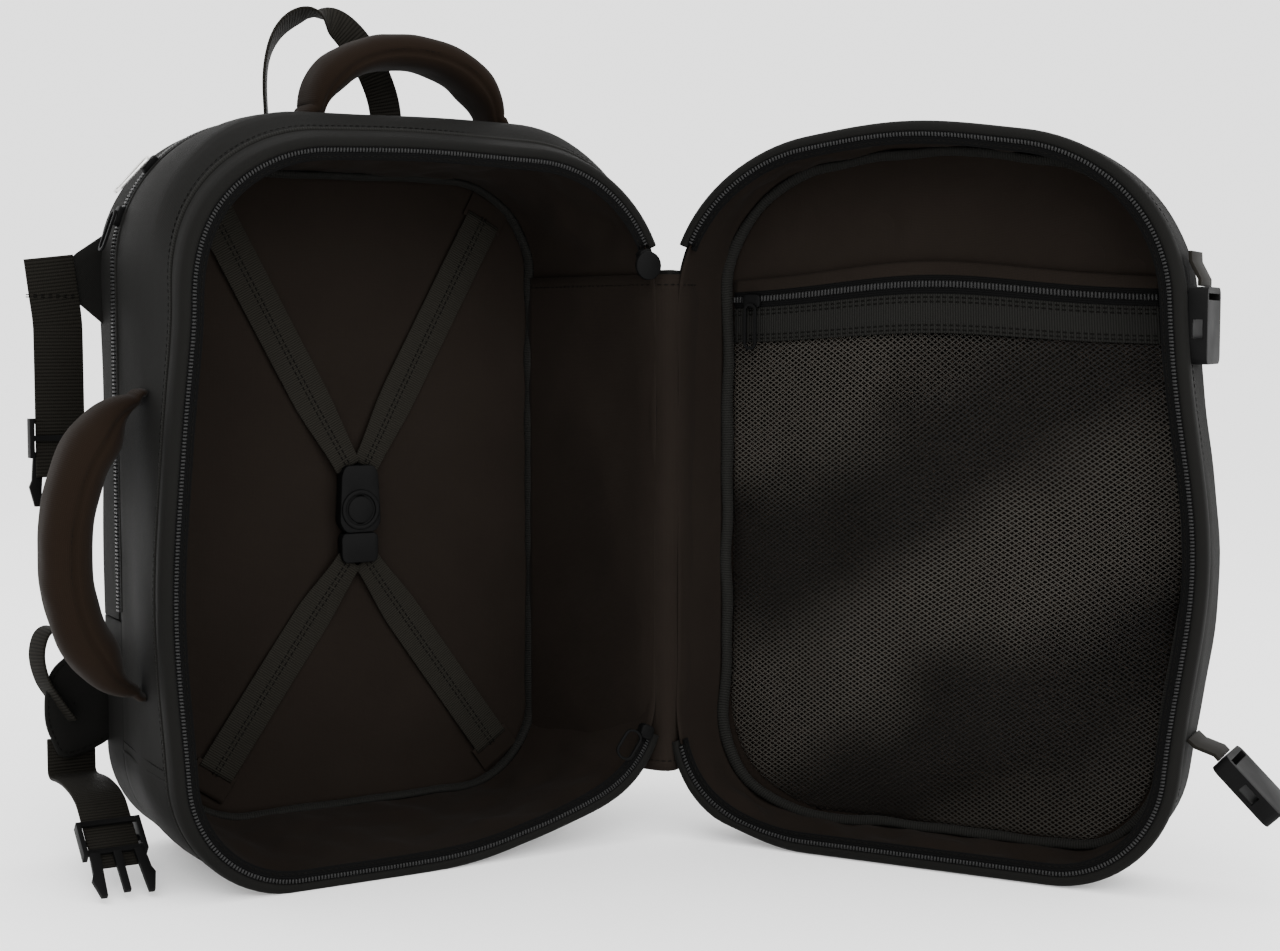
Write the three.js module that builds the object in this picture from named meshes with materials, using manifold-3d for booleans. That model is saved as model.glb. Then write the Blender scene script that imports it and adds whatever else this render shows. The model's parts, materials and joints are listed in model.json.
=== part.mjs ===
// Travel backpack that opens like a suitcase: a soft shell whose front door swings on one side
// seam, with a laptop compartment behind, grab handles, compression straps and shoulder straps.
// Millimetres, +Z up. Origin: centre of the flat base, on the floor. +X is the hinge side,
// +Y is the wearer's back, -Y is the opening. The door is stored standing open.
import * as THREE from 'three'
import { mergeVertices } from 'three/addons/utils/BufferGeometryUtils.js'
import Module from 'manifold-3d'

const wasm = await Module()
wasm.setup()

// ---------------------------------------------------------------- driving dimensions
const HALF_WIDTH = 160
const FRONT_HEIGHT = 436          // top of the shell at the opening
const BACK_HEIGHT = 456           // top of the shell behind the front edge
const TOP_RADIUS = 92
const FREE_FOOT_RADIUS = 70       // lower corners away from the hinge
const HINGE_FOOT_RADIUS = 95      // lower corners beside the hinge
const Y_OPENING = -82             // plane where the door meets the shell
const Y_RIM_BACK = -70
const Y_REAR_ZIP = 36             // plane of the laptop compartment's zip
const Y_BACK = 82                 // outer face of the back panel
const REAR_EDGE_RADIUS = 14
const WALL = 4
const GAP = 0.4                   // clearance between neighbouring pieces
const DOOR_DEPTH = 60
const DOOR_ANGLE = 122            // how far the door stands open
const DOOR_FOOT = 1.5             // the door's underside clears the floor by this
const FLAP_SEAM_Z = 150           // height of the laptop flap's bending seam
const LINING_BACK_Y = 52
const STRAP_WIDTH = 30
const ELASTIC_WIDTH = 25
const WEBBING = 2                 // thickness of webbing
const BUCKLE_WIDTH = 38
const HINGE_ZIP_TOP = 381         // the main zip stops at these heights beside the hinge
const HINGE_ZIP_FOOT = 64

// ---------------------------------------------------------------- materials
function surface(color, roughness, metalness = 0) {
  return new THREE.MeshStandardMaterial({ color, roughness, metalness })
}
const shellFabric = () => surface(0x1b1a19, 0.82)
const liningFabric = () => surface(0x2b231e, 0.9)
const padFabric = () => surface(0x2a2521, 0.85)
const webbing = () => surface(0x1d1a15, 0.8)
const meshFabric = () => surface(0x201d1b, 0.9)
const zipTape = () => surface(0x15151a, 0.6)
const zipMetal = () => surface(0x17171a, 0.35, 0.6)
const silverMetal = () => surface(0xb8b8b6, 0.25, 1)
const buckle = () => surface(0x141414, 0.45)

const bag = new THREE.Group()

function add(name, geometry, material) {
  const mesh = new THREE.Mesh(geometry, material)
  mesh.name = name
  bag.add(mesh)
  return mesh
}

// ---------------------------------------------------------------- solids from sections
// rows: cross-section loops with equal, even point counts; point i faces point n-1-i across.
function loft(rows, closed = false) {
  const n = rows[0].length
  const positions = []
  for (const row of rows) {
    for (const p of row) positions.push(p.x, p.y, p.z)
  }
  const index = []
  const spans = closed ? rows.length : rows.length - 1
  for (let r = 0; r < spans; r++) {
    const a = r * n
    const b = ((r + 1) % rows.length) * n
    for (let i = 0; i < n; i++) {
      const j = (i + 1) % n
      index.push(a + i, a + j, b + j, a + i, b + j, b + i)
    }
  }
  if (!closed) {
    capLadder(index, 0, n, true)
    capLadder(index, (rows.length - 1) * n, n, false)
  }
  return finish(positions, index)
}

function capLadder(index, start, n, flip) {
  for (let i = 0; i < n / 2 - 1; i++) {
    const a = start + i
    const b = start + i + 1
    const c = start + n - 2 - i
    const d = start + n - 1 - i
    const faces = flip ? [a, c, b, a, d, c] : [a, b, c, a, c, d]
    index.push(...faces)
  }
}

// Merges shared corners and turns the faces outward.
function finish(positions, index) {
  let geometry = new THREE.BufferGeometry()
  geometry.setAttribute('position', new THREE.Float32BufferAttribute(positions, 3))
  geometry.setIndex(index)
  geometry = mergeVertices(geometry, 1e-4)
  geometry = dropSlivers(geometry)
  if (signedVolume(geometry) < 0) reverseFaces(geometry)
  geometry.computeVertexNormals()
  return geometry
}

function dropSlivers(geometry) {
  const old = geometry.index.array
  const kept = []
  for (let i = 0; i < old.length; i += 3) {
    const [a, b, c] = [old[i], old[i + 1], old[i + 2]]
    if (a !== b && b !== c && a !== c) kept.push(a, b, c)
  }
  geometry.setIndex(kept)
  return geometry
}

function signedVolume(geometry) {
  const p = geometry.attributes.position
  const index = geometry.index.array
  const a = new THREE.Vector3()
  const b = new THREE.Vector3()
  const c = new THREE.Vector3()
  let total = 0
  for (let i = 0; i < index.length; i += 3) {
    a.fromBufferAttribute(p, index[i])
    b.fromBufferAttribute(p, index[i + 1])
    c.fromBufferAttribute(p, index[i + 2])
    total += a.dot(b.cross(c))
  }
  return total / 6
}

function reverseFaces(geometry) {
  const index = geometry.index.array
  for (let i = 0; i < index.length; i += 3) {
    const swap = index[i + 1]
    index[i + 1] = index[i + 2]
    index[i + 2] = swap
  }
}

function v(x, y, z) {
  return new THREE.Vector3(x, y, z)
}

// A shape drawn in its own plane and thickened along +Z of that plane, then placed.
function plate(shape, depth, matrix = new THREE.Matrix4(), curveSegments = 6) {
  const settings = { depth, bevelEnabled: false, curveSegments }
  const geometry = new THREE.ExtrudeGeometry(shape, settings)
  geometry.deleteAttribute('normal')
  geometry.deleteAttribute('uv')
  geometry.applyMatrix4(matrix)
  const merged = mergeVertices(geometry, 1e-4)
  if (signedVolume(merged) < 0) reverseFaces(merged)
  merged.computeVertexNormals()
  return merged
}

function polygon(points) {
  return new THREE.Shape(points.map(([a, b]) => new THREE.Vector2(a, b)))
}

function roundedRect(w, h, r) {
  const s = new THREE.Shape()
  s.moveTo(-w / 2 + r, -h / 2)
  s.lineTo(w / 2 - r, -h / 2)
  s.absarc(w / 2 - r, -h / 2 + r, r, -Math.PI / 2, 0, false)
  s.lineTo(w / 2, h / 2 - r)
  s.absarc(w / 2 - r, h / 2 - r, r, 0, Math.PI / 2, false)
  s.lineTo(-w / 2 + r, h / 2)
  s.absarc(-w / 2 + r, h / 2 - r, r, Math.PI / 2, Math.PI, false)
  s.lineTo(-w / 2, -h / 2 + r)
  s.absarc(-w / 2 + r, -h / 2 + r, r, Math.PI, 1.5 * Math.PI, false)
  return s
}

function rectHole(cx, cy, w, h) {
  const path = new THREE.Path()
  path.moveTo(cx - w / 2, cy - h / 2)
  path.lineTo(cx - w / 2, cy + h / 2)
  path.lineTo(cx + w / 2, cy + h / 2)
  path.lineTo(cx + w / 2, cy - h / 2)
  path.closePath()
  return path
}

// Places a plate: xAxis and yAxis carry the drawing's axes, the thickness goes along their cross.
function placed(origin, xAxis, yAxis) {
  const x = xAxis.clone().normalize()
  const z = x.clone().cross(yAxis).normalize()
  const y = z.clone().cross(x)
  return new THREE.Matrix4().makeBasis(x, y, z).setPosition(origin)
}

const FACING_FRONT = [v(1, 0, 0), v(0, 0, 1)]    // drawing seen from -Y, thickness towards -Y

function solid(geometry) {
  const p = geometry.attributes.position
  const vertProperties = Float32Array.from(p.array)
  const triVerts = Uint32Array.from(geometry.index.array)
  return new wasm.Manifold(new wasm.Mesh({ numProp: 3, vertProperties, triVerts }))
}

function fromSolid(body) {
  const mesh = body.getMesh()
  return finish(Array.from(mesh.vertProperties), Array.from(mesh.triVerts))
}

function box(w, d, h, centre) {
  const geometry = new THREE.BoxGeometry(w, d, h)
  geometry.deleteAttribute('normal')
  geometry.deleteAttribute('uv')
  geometry.translate(centre.x, centre.y, centre.z)
  return mergeVertices(geometry, 1e-4)
}

// ---------------------------------------------------------------- the shell's outline
// Eight segments: 0 left side up, 1 top left corner, 2 top, 3 top right corner, 4 right side down,
// 5 foot corner by the hinge, 6 base, 7 free foot corner. t runs 0..1 along a segment.
function outlinePoint(form, segment, t, inset = 0) {
  const { half, top, bottom } = form
  const rt = form.topRadius
  const rf = form.freeRadius
  const rh = form.hingeRadius
  const arc = (cx, cz, r, from, to) => {
    const a = THREE.MathUtils.degToRad(from + (to - from) * t)
    return [cx + (r - inset) * Math.cos(a), cz + (r - inset) * Math.sin(a)]
  }
  const mix = (a, b) => a + (b - a) * t
  switch (segment) {
    case 0: return [-half + inset, mix(bottom + rf, top - rt)]
    case 1: return arc(-half + rt, top - rt, rt, 180, 90)
    case 2: return [mix(-half + rt, half - rt), top - inset]
    case 3: return arc(half - rt, top - rt, rt, 90, 0)
    case 4: return [half - inset, mix(top - rt, bottom + rh)]
    case 5: return arc(half - rh, bottom + rh, rh, 0, -90)
    case 6: return [mix(half - rh, -half + rf), bottom + inset]
    default: return arc(-half + rf, bottom + rf, rf, 270, 180)
  }
}

function segmentLength(form, segment) {
  const straight = [form.top - form.topRadius - form.bottom - form.freeRadius,
    2 * (form.half - form.topRadius), form.top - form.topRadius - form.bottom - form.hingeRadius,
    2 * form.half - form.hingeRadius - form.freeRadius]
  const quarter = Math.PI / 2
  return [straight[0], quarter * form.topRadius, straight[1], quarter * form.topRadius,
    straight[2], quarter * form.hingeRadius, straight[3], quarter * form.freeRadius][segment]
}

const DIVISIONS = [3, 6, 2, 6, 3, 5, 2, 5]

// Sample places [segment, t] from a start place to an end place, going round the outline.
function route(from, to) {
  const places = []
  let segment = from[0]
  let t = from[1]
  while (true) {
    const last = segment === to[0] && (to[1] > t || places.length > 0)
    const end = last ? to[1] : 1
    const steps = Math.max(1, Math.round(DIVISIONS[segment] * (end - t)))
    for (let i = 0; i <= steps; i++) {
      if (places.length && i === 0) continue
      places.push([segment, t + (end - t) * i / steps])
    }
    if (last) return places
    segment = (segment + 1) % 8
    t = 0
  }
}

function trimmed(form, from, to, gap = GAP / 2) {
  const start = [from[0], from[1] + gap / segmentLength(form, from[0])]
  const end = [to[0], to[1] - gap / segmentLength(form, to[0])]
  return route(start, end)
}

function wholeRound() {
  const places = []
  for (let segment = 0; segment < 8; segment++) {
    for (let i = 0; i < DIVISIONS[segment]; i++) places.push([segment, i / DIVISIONS[segment]])
  }
  return places
}

// A wall along part of the outline: stations give y, the outline there, and outer and inner insets.
function wall(places, stations, closed = false) {
  const rows = places.map(([segment, t]) => {
    const outer = stations.map((s) => onOutline(s, segment, t, s.outer))
    const inner = stations.map((s) => onOutline(s, segment, t, s.inner))
    return [...outer, ...inner.reverse()]
  })
  return loft(rows, closed)
}

function onOutline(station, segment, t, inset) {
  const [x, z] = outlinePoint(station.form, segment, t, inset)
  return v(x, station.y, z)
}

function smooth(t) {
  const k = Math.min(Math.max(t, 0), 1)
  return k * k * (3 - 2 * k)
}

// The shell swells upward behind the opening and slightly sideways in the middle of its depth.
function shellForm(y) {
  const rise = smooth((y - Y_OPENING) / 44)
  const swell = 3 * Math.sin(Math.PI * Math.min(Math.max((y - Y_OPENING) / 118, 0), 1))
  return {
    half: HALF_WIDTH + swell,
    top: FRONT_HEIGHT + (BACK_HEIGHT - FRONT_HEIGHT) * rise,
    bottom: 0,
    topRadius: TOP_RADIUS,
    freeRadius: FREE_FOOT_RADIUS,
    hingeRadius: HINGE_FOOT_RADIUS,
  }
}

function shellStations(ys, outer = 0, inner = WALL) {
  return ys.map((y) => ({ y, form: shellForm(y), outer, inner }))
}

// Rounded rear edge behind the laptop zip.
function rearStations(from) {
  const bend = Y_BACK - REAR_EDGE_RADIUS
  const arcs = [0, 30, 60, 80].map((deg) => {
    const a = THREE.MathUtils.degToRad(deg)
    const y = bend + (REAR_EDGE_RADIUS - 1) * Math.sin(a)
    const inset = REAR_EDGE_RADIUS * (1 - Math.cos(a))
    return { y, inset }
  })
  return [{ y: from, inset: 0 }, ...arcs].map(({ y, inset }) => {
    const thickness = WALL * (1 - 0.25 * inset / REAR_EDGE_RADIUS)
    return { y, form: shellForm(y), outer: inset, inner: inset + thickness }
  })
}

// ---------------------------------------------------------------- shell panels
function buildShell() {
  const depth = [Y_RIM_BACK + GAP, -50, -28, -4, 16, Y_REAR_ZIP - 2.8]
  const form = shellForm(0)
  const stations = shellStations(depth)
  add('left_side_panel', wall(trimmed(form, [0, 0], [0, 1]), stations), shellFabric())
  add('top_gusset', wall(trimmed(form, [1, 0], [3, 1]), stations), shellFabric())
  add('right_side_panel', wall(trimmed(form, [4, 0], [4, 1]), stations), shellFabric())
  add('bottom_gusset', wall(trimmed(form, [5, 0], [7, 1]), stations), shellFabric())
}

// Places on the corners beside the hinge where the main zip stops.
const ZIP_TOP_T = 1 - Math.asin((HINGE_ZIP_TOP - FRONT_HEIGHT + TOP_RADIUS) / TOP_RADIUS) / (Math.PI / 2)
const ZIP_FOOT_T = Math.asin((HINGE_FOOT_RADIUS - HINGE_ZIP_FOOT) / HINGE_FOOT_RADIUS) / (Math.PI / 2)

function rimRoute(extraTop = 0, extraFoot = 0) {
  return route([5, ZIP_FOOT_T + extraFoot], [3, ZIP_TOP_T - extraTop])
}

// Soft rolled flap that covers the zip all round the opening, apart from the hinge. The shell
// carries one and the door the other. The section pairs a distance from the opening plane with
// an inset from the outline.
const RIM_SECTION = [
  [0.6, 2.5], [4, -1.5], [9, -1.5], [12, 0.4], [12, 3.4], [9, 4.6], [4, 4.6], [0.6, 4],
]

function rimLoft(form, direction) {
  const rows = rimRoute().map(([segment, t]) => RIM_SECTION.map(([depth, inset]) => {
    const [x, z] = outlinePoint(form, segment, t, inset)
    return v(x, Y_OPENING + direction * depth, Math.max(z, form.bottom))
  }))
  return loft(rows)
}

function buildRim() {
  add('opening_rim', rimLoft(openingForm(), 1), shellFabric())
}

function openingForm() {
  return shellForm(Y_OPENING)
}

function zipStrip(routePlaces, form, y, thickness, from, to) {
  const stations = [
    { y, form, outer: from, inner: to },
    { y: y + thickness, form, outer: from, inner: to },
  ]
  return wall(routePlaces, stations)
}

function buildMainZipOnShell() {
  const strip = zipStrip(rimRoute(0.06, 0.06), openingForm(), Y_OPENING + 0.4, 2.2, 5.4, 12.4)
  add('main_zip_shell_tape', strip, zipTape())
}

// Fabric fold that the door swings on: it leaves the right side, turns at the hinge line and
// runs on into the door.
const HINGE = v(HALF_WIDTH, Y_OPENING, 0)
const DOOR_TURN = THREE.MathUtils.degToRad(DOOR_ANGLE)
const DOOR_DIRECTION = v(-Math.cos(DOOR_TURN), -Math.sin(DOOR_TURN), 0)
const DOOR_OUTWARD = v(Math.sin(DOOR_TURN), -Math.cos(DOOR_TURN), 0)

function buildHingeFold() {
  const onDoor = (along, out) => {
    const x = HINGE.x + DOOR_DIRECTION.x * along + DOOR_OUTWARD.x * out
    const y = HINGE.y + DOOR_DIRECTION.y * along + DOOR_OUTWARD.y * out
    return [x, y]
  }
  const outline = [
    [HALF_WIDTH - 2, Y_RIM_BACK], [HALF_WIDTH - 2, Y_OPENING - 1.6], [HALF_WIDTH - 1, Y_OPENING - 2.9],
    [HALF_WIDTH + 0.9, Y_OPENING - 2.8], onDoor(2.4, 0.5), onDoor(2.4, 11.6), onDoor(0.8, 11.6),
    onDoor(0.8, 1.2), [HALF_WIDTH - 0.4, Y_OPENING + 0.8], [HALF_WIDTH - 0.4, Y_RIM_BACK],
  ]
  const height = HINGE_ZIP_TOP - HINGE_ZIP_FOOT - 2
  const matrix = new THREE.Matrix4().setPosition(0, 0, HINGE_ZIP_FOOT + 1)
  add('hinge_fold', plate(polygon(outline), height, matrix), liningFabric())
}

// ---------------------------------------------------------------- lining and divider
function liningForm(t) {
  const mix = (a, b) => a + (b - a) * t
  return {
    half: mix(HALF_WIDTH - 5.6, 130),
    top: mix(FRONT_HEIGHT - 5.6, 430),
    bottom: mix(5.6, 14),
    topRadius: mix(TOP_RADIUS - 5.6, 64),
    freeRadius: mix(FREE_FOOT_RADIUS - 5.6, 52),
    hingeRadius: mix(HINGE_FOOT_RADIUS - 5.6, 60),
  }
}

function buildLining() {
  const ys = [Y_OPENING + 3.2, -40, 0, 30, LINING_BACK_Y]
  const stations = ys.map((y) => {
    const t = (y - ys[0]) / (LINING_BACK_Y - ys[0])
    return { y, form: liningForm(t), outer: 0, inner: 1.4 }
  })
  add('main_lining', wall(wholeRound(), stations, true), liningFabric())
  const form = liningForm(1)
  add('divider_panel', pad(form, wholeRound(), 1.8, LINING_BACK_Y - 3, LINING_BACK_Y + 1, 0), liningFabric())
}

// A panel that closes an outline: concentric rings, flat on the inside, domed on the outside.
function pad(form, places, inset, yFlat, yEdge, dome, centre = [0, 220]) {
  const direction = Math.sign(yEdge - yFlat)
  const ring = (scale, y) => places.map(([segment, t]) => {
    const [x, z] = outlinePoint(form, segment, t, inset)
    return v(centre[0] + (x - centre[0]) * scale, y, centre[1] + (z - centre[1]) * scale)
  })
  const rings = [ring(0.25, yFlat), ring(1, yFlat), ring(1, yEdge)]
  for (const scale of [0.9, 0.65, 0.25]) {
    rings.push(ring(scale, yEdge + direction * dome * (1 - scale ** 3)))
  }
  return loft(rings)
}

// ---------------------------------------------------------------- laptop compartment
function clippedRoute(upper) {
  const form = shellForm(Y_REAR_ZIP)
  const t = (form_z, segment) => {
    const low = outlinePoint(form, segment, 0)[1]
    const high = outlinePoint(form, segment, 1)[1]
    return (form_z - low) / (high - low)
  }
  if (upper) return route([0, t(FLAP_SEAM_Z + GAP / 2, 0)], [4, t(FLAP_SEAM_Z + GAP / 2, 4)])
  return route([4, t(FLAP_SEAM_Z - GAP / 2, 4)], [0, t(FLAP_SEAM_Z - GAP / 2, 0)])
}

// Fabric wing sewn into the rear seam: the shoulder strap's lower end is stitched to it.
const WING = [[157.5, 138], [178, 130], [197, 116], [199, 84], [190, 60], [157.5, 74]]

function strapWing(side) {
  const points = WING.map(([x, z]) => [side * x, z])
  return plate(polygon(points), 4, placed(v(0, Y_BACK - 12, 0), ...FACING_FRONT))
}

function buildLaptopCompartment() {
  const upper = clippedRoute(true)
  const lower = clippedRoute(false)
  const form = shellForm(Y_REAR_ZIP)
  add('rear_zip_shell_tape', zipStrip(upper, form, Y_REAR_ZIP - 2.4, 2.2, 0.6, 3.6), zipTape())
  add('rear_zip_flap_tape', zipStrip(upper, form, Y_REAR_ZIP + 0.2, 2.2, 0.6, 3.6), zipTape())
  const rear = rearStations(Y_REAR_ZIP + 2.8)
  add('laptop_flap_gusset', wall(upper, rear), shellFabric())
  const lowRear = rearStations(Y_REAR_ZIP - 2.4)
  lowRear.splice(1, 0, { y: 40, form, outer: 0, inner: WALL })
  let rearGusset = solid(wall(lower, lowRear))
  for (const side of [-1, 1]) rearGusset = rearGusset.add(solid(strapWing(side)))
  add('lower_rear_gusset', fromSolid(rearGusset), shellFabric())
  const backForm = shellForm(Y_BACK)
  const flap = pad(backForm, upper, REAR_EDGE_RADIUS + 1, Y_BACK - 9, Y_BACK - 2, 6, [0, 300])
  add('laptop_flap_panel', flap, padFabric())
  const low = pad(backForm, lower, REAR_EDGE_RADIUS + 1, Y_BACK - 9, Y_BACK - 2, 4, [0, 90])
  add('lower_back_panel', low, padFabric())
}

// ---------------------------------------------------------------- door
// Everything on the door is drawn closed, facing -Y, and then swung open about the hinge line.
const OPEN_DOOR = new THREE.Matrix4().makeTranslation(HINGE.x, HINGE.y, 0)
  .multiply(new THREE.Matrix4().makeRotationZ(DOOR_TURN))
  .multiply(new THREE.Matrix4().makeTranslation(-HINGE.x, -HINGE.y, 0))

function swung(geometry) {
  geometry.applyMatrix4(OPEN_DOOR)
  geometry.computeVertexNormals()
  return geometry
}

const DOOR_FRONT_Y = Y_OPENING - DOOR_DEPTH
const DOOR_CORNER = 16

function doorForm() {
  return { ...openingForm(), bottom: DOOR_FOOT }
}

function doorStations(from) {
  const form = doorForm()
  const bend = DOOR_FRONT_Y + DOOR_CORNER
  const arcs = [0, 35, 65, 82].map((deg) => {
    const a = THREE.MathUtils.degToRad(deg)
    const inset = DOOR_CORNER * (1 - Math.cos(a))
    return { y: bend - (DOOR_CORNER - 1) * Math.sin(a), form, outer: inset, inner: inset + 3.2 }
  })
  const middle = (from + bend) / 2
  return [from, middle].map((y) => ({ y, form, outer: 0, inner: 3.2 })).concat(arcs)
}

function buildDoorShell() {
  const form = doorForm()
  const stations = doorStations(Y_OPENING - 12.4)
  const panel = (from, to) => swung(wall(trimmed(form, from, to), stations))
  add('door_free_gusset', panel([0, 0], [0, 1]), shellFabric())
  add('door_top_gusset', panel([1, 0], [3, 1]), shellFabric())
  add('door_hinge_gusset', panel([4, 0], [4, 1]), shellFabric())
  add('door_bottom_gusset', panel([5, 0], [7, 1]), shellFabric())
  add('door_rim', swung(rimLoft(form, -1)), shellFabric())
  const front = pad(form, wholeRound(), DOOR_CORNER + 0.6, DOOR_FRONT_Y + 5, DOOR_FRONT_Y + 2, 6)
  add('door_front_panel', swung(front), shellFabric())
  const tape = zipStrip(rimRoute(0.06, 0.06), form, Y_OPENING - 2.6, 2.2, 5.4, 12.4)
  add('main_zip_door_tape', swung(tape), zipTape())
}

// ---------------------------------------------------------------- mesh pocket inside the door
const POCKET_Y = DOOR_FRONT_Y + 7.4       // front of the mesh, measured on the closed door
const POCKET_TOP = 343
const POCKET_HALF = 138

function doorSheet(zTop, y, thickness) {
  const form = { ...doorForm(), half: POCKET_HALF, bottom: 14, top: FRONT_HEIGHT - 12 }
  form.freeRadius = FREE_FOOT_RADIUS - 12
  form.hingeRadius = HINGE_FOOT_RADIUS - 12
  const t = (z, segment) => {
    const low = outlinePoint(form, segment, 0)[1]
    const high = outlinePoint(form, segment, 1)[1]
    return (z - low) / (high - low)
  }
  const places = route([4, t(zTop, 4)], [0, t(zTop, 0)])
  const points = places.map(([segment, k]) => outlinePoint(form, segment, k))
  return plate(polygon(points), thickness, placed(v(0, y, 0), ...FACING_FRONT))
}

function buildMeshPocket() {
  add('mesh_pocket_panel', swung(doorSheet(POCKET_TOP - 25, POCKET_Y, 1.2)), meshFabric())
  const band = roundedRect(2 * POCKET_HALF - 2, 22, 2)
  const bandPlace = placed(v(0, POCKET_Y, POCKET_TOP - 13), ...FACING_FRONT)
  add('mesh_pocket_band', swung(plate(band, 2, bandPlace)), webbing())
  const zip = roundedRect(2 * POCKET_HALF - 4, 9, 2)
  const zipPlace = placed(v(0, POCKET_Y, POCKET_TOP + 3.4), ...FACING_FRONT)
  add('mesh_pocket_zip', swung(plate(zip, 1.6, zipPlace)), zipTape())
  const x = POCKET_HALF - 15
  const slider = plate(roundedRect(12, 9, 3), 3.4, placed(v(x, POCKET_Y + 3.8, POCKET_TOP + 3.4), ...FACING_FRONT))
  add('mesh_pocket_slider', swung(slider), zipMetal())
  const loop = pullLoop(9, 30, 1.8)
  const loopPlace = placed(v(x, POCKET_Y + 6.2, POCKET_TOP - 13), ...FACING_FRONT)
  add('mesh_pocket_puller', swung(plate(loop, 1.8, loopPlace, 4)), zipMetal())
}

// Closed wire loop, drawn upright about its middle.
function pullLoop(w, h, wire) {
  const corner = Math.min(w, h) / 2 - 0.1
  const shape = roundedRect(w, h, corner)
  const hole = roundedRect(w - 2 * wire, h - 2 * wire, corner - wire)
  shape.holes.push(new THREE.Path(hole.getPoints(4).reverse()))
  return shape
}

// ---------------------------------------------------------------- outer pocket on the door
function buildFrontPocket() {
  const y = DOOR_FRONT_Y - 4.4
  const zip = plate(roundedRect(210, 9, 2), 1.6, placed(v(0, y - 1.4, 330), ...FACING_FRONT))
  add('front_pocket_zip', swung(zip), zipTape())
}

// ---------------------------------------------------------------- webbing
// A ribbon whose middle line lies in a plane and whose width runs straight across that plane.
function ribbon(points, width, thickness, origin, xAxis, yAxis) {
  const shape = polygon(thickLine(points, thickness))
  const across = xAxis.clone().cross(yAxis).normalize()
  const start = origin.clone().addScaledVector(across, -width / 2)
  return plate(shape, width, placed(start, xAxis, yAxis))
}

function thickLine(points, thickness) {
  const left = []
  const right = []
  const pts = points.map(([a, b]) => new THREE.Vector2(a, b))
  pts.forEach((p, i) => {
    const before = i > 0 ? p.clone().sub(pts[i - 1]).normalize() : null
    const after = i < pts.length - 1 ? pts[i + 1].clone().sub(p).normalize() : null
    const run = (before && after) ? before.clone().add(after).normalize() : (before || after).clone()
    const normal = new THREE.Vector2(-run.y, run.x)
    const stretch = (before && after) ? 1 / Math.max(0.5, run.dot(after)) : 1
    left.push(p.clone().addScaledVector(normal, stretch * thickness / 2))
    right.push(p.clone().addScaledVector(normal, -stretch * thickness / 2))
  })
  return [...left, ...right.reverse()].map((p) => [p.x, p.y])
}

function arcPoints(cx, cy, rx, ry, from, to, steps) {
  const points = []
  for (let i = 0; i <= steps; i++) {
    const a = THREE.MathUtils.degToRad(from + (to - from) * i / steps)
    points.push([cx + rx * Math.cos(a), cy + ry * Math.sin(a)])
  }
  return points
}

// ---------------------------------------------------------------- handles
// A padded arch. Its ends are round tabs that stand on the shell and turn about their middle.
const TAB_RADIUS = 11

function handleArch(span, rise, width, thickness, place) {
  const path = arcPoints(0, TAB_RADIUS, span / 2, rise - TAB_RADIUS, 180, 0, 14)
  const rows = path.map(([a, b], i) => {
    const p = new THREE.Vector2(a, b)
    const next = new THREE.Vector2(...path[Math.min(i + 1, path.length - 1)])
    const last = new THREE.Vector2(...path[Math.max(i - 1, 0)])
    const run = next.sub(last).normalize()
    const normal = new THREE.Vector2(-run.y, run.x)
    const along = Math.min(i, path.length - 1 - i) / 3
    const half = TAB_RADIUS + (width / 2 - TAB_RADIUS) * smooth(along)
    const thick = thickness / 2 * (0.55 + 0.45 * smooth(along))
    return padSection(p, normal, half, thick)
  })
  const first = tabRows(-span / 2, thickness * 0.275, false)
  const end = tabRows(span / 2, thickness * 0.275, true)
  const geometry = loft([...first, ...rows, ...end])
  geometry.applyMatrix4(place)
  geometry.computeVertexNormals()
  return geometry
}

function padSection(p, normal, half, thick) {
  const profile = [[-1, 0.45], [-0.8, 1], [0.8, 1], [1, 0.45], [1, -0.45], [0.8, -1], [-0.8, -1], [-1, -0.45]]
  return profile.map(([w, t]) => v(p.x + normal.x * thick * t, w * half, p.y + normal.y * thick * t))
}

// The round foot below the arch: the width shrinks as a half disc.
function tabRows(x, thick, reverse) {
  const rows = [0.94, 0.75, 0.45].map((k) => {
    const half = TAB_RADIUS * Math.sqrt(1 - k * k)
    const normal = new THREE.Vector2(reverse ? 1 : -1, 0)
    return padSection(new THREE.Vector2(x, TAB_RADIUS * (1 - k)), normal, half, thick)
  })
  return reverse ? rows.reverse() : rows
}

function buildHandles() {
  const upright = new THREE.Matrix4().setPosition(9, -12, BACK_HEIGHT + GAP)
  const top = handleArch(124, 50, 44, 8, upright)
  add('top_handle', top, padFabric())
  const sideways = new THREE.Matrix4().makeBasis(v(0, 0, 1), v(0, 1, 0), v(-1, 0, 0))
  const outside = shellForm(-28).half + GAP
  const side = handleArch(168, 54, 44, 8, sideways.setPosition(-outside, -28, 203))
  add('side_handle', side, padFabric())
  const loopPath = arcPoints(0, 6, 40, 66, 180, 0, 12)
  const rows = [[-40, 0], ...loopPath, [40, 0]]
  const place = [v(1, 0, 0), v(0, 0, 1)]
  const origin = v(-28, 20.4, BACK_HEIGHT + 3)
  add('hanging_loop', ribbon(rows, 18, WEBBING, origin, ...place), webbing())
}

// ---------------------------------------------------------------- buckles
// Female half, drawn flat: its mouth points along +y and its webbing slot is at the other end.
function femaleBuckle(place) {
  const shell = plate(roundedRect(BUCKLE_WIDTH, 44, 5), 11)
  let body = solid(shell)
  body = body.subtract(solid(box(28, 34, 7, v(0, 8, 5.5))))
  body = body.subtract(solid(box(BUCKLE_WIDTH + 4, 11, 6, v(0, 2, 5.5))))
  body = body.subtract(solid(box(31, 3.8, 20, v(0, -16.4, 5))))
  const geometry = fromSolid(body)
  geometry.applyMatrix4(place)
  geometry.computeVertexNormals()
  return geometry
}

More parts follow.
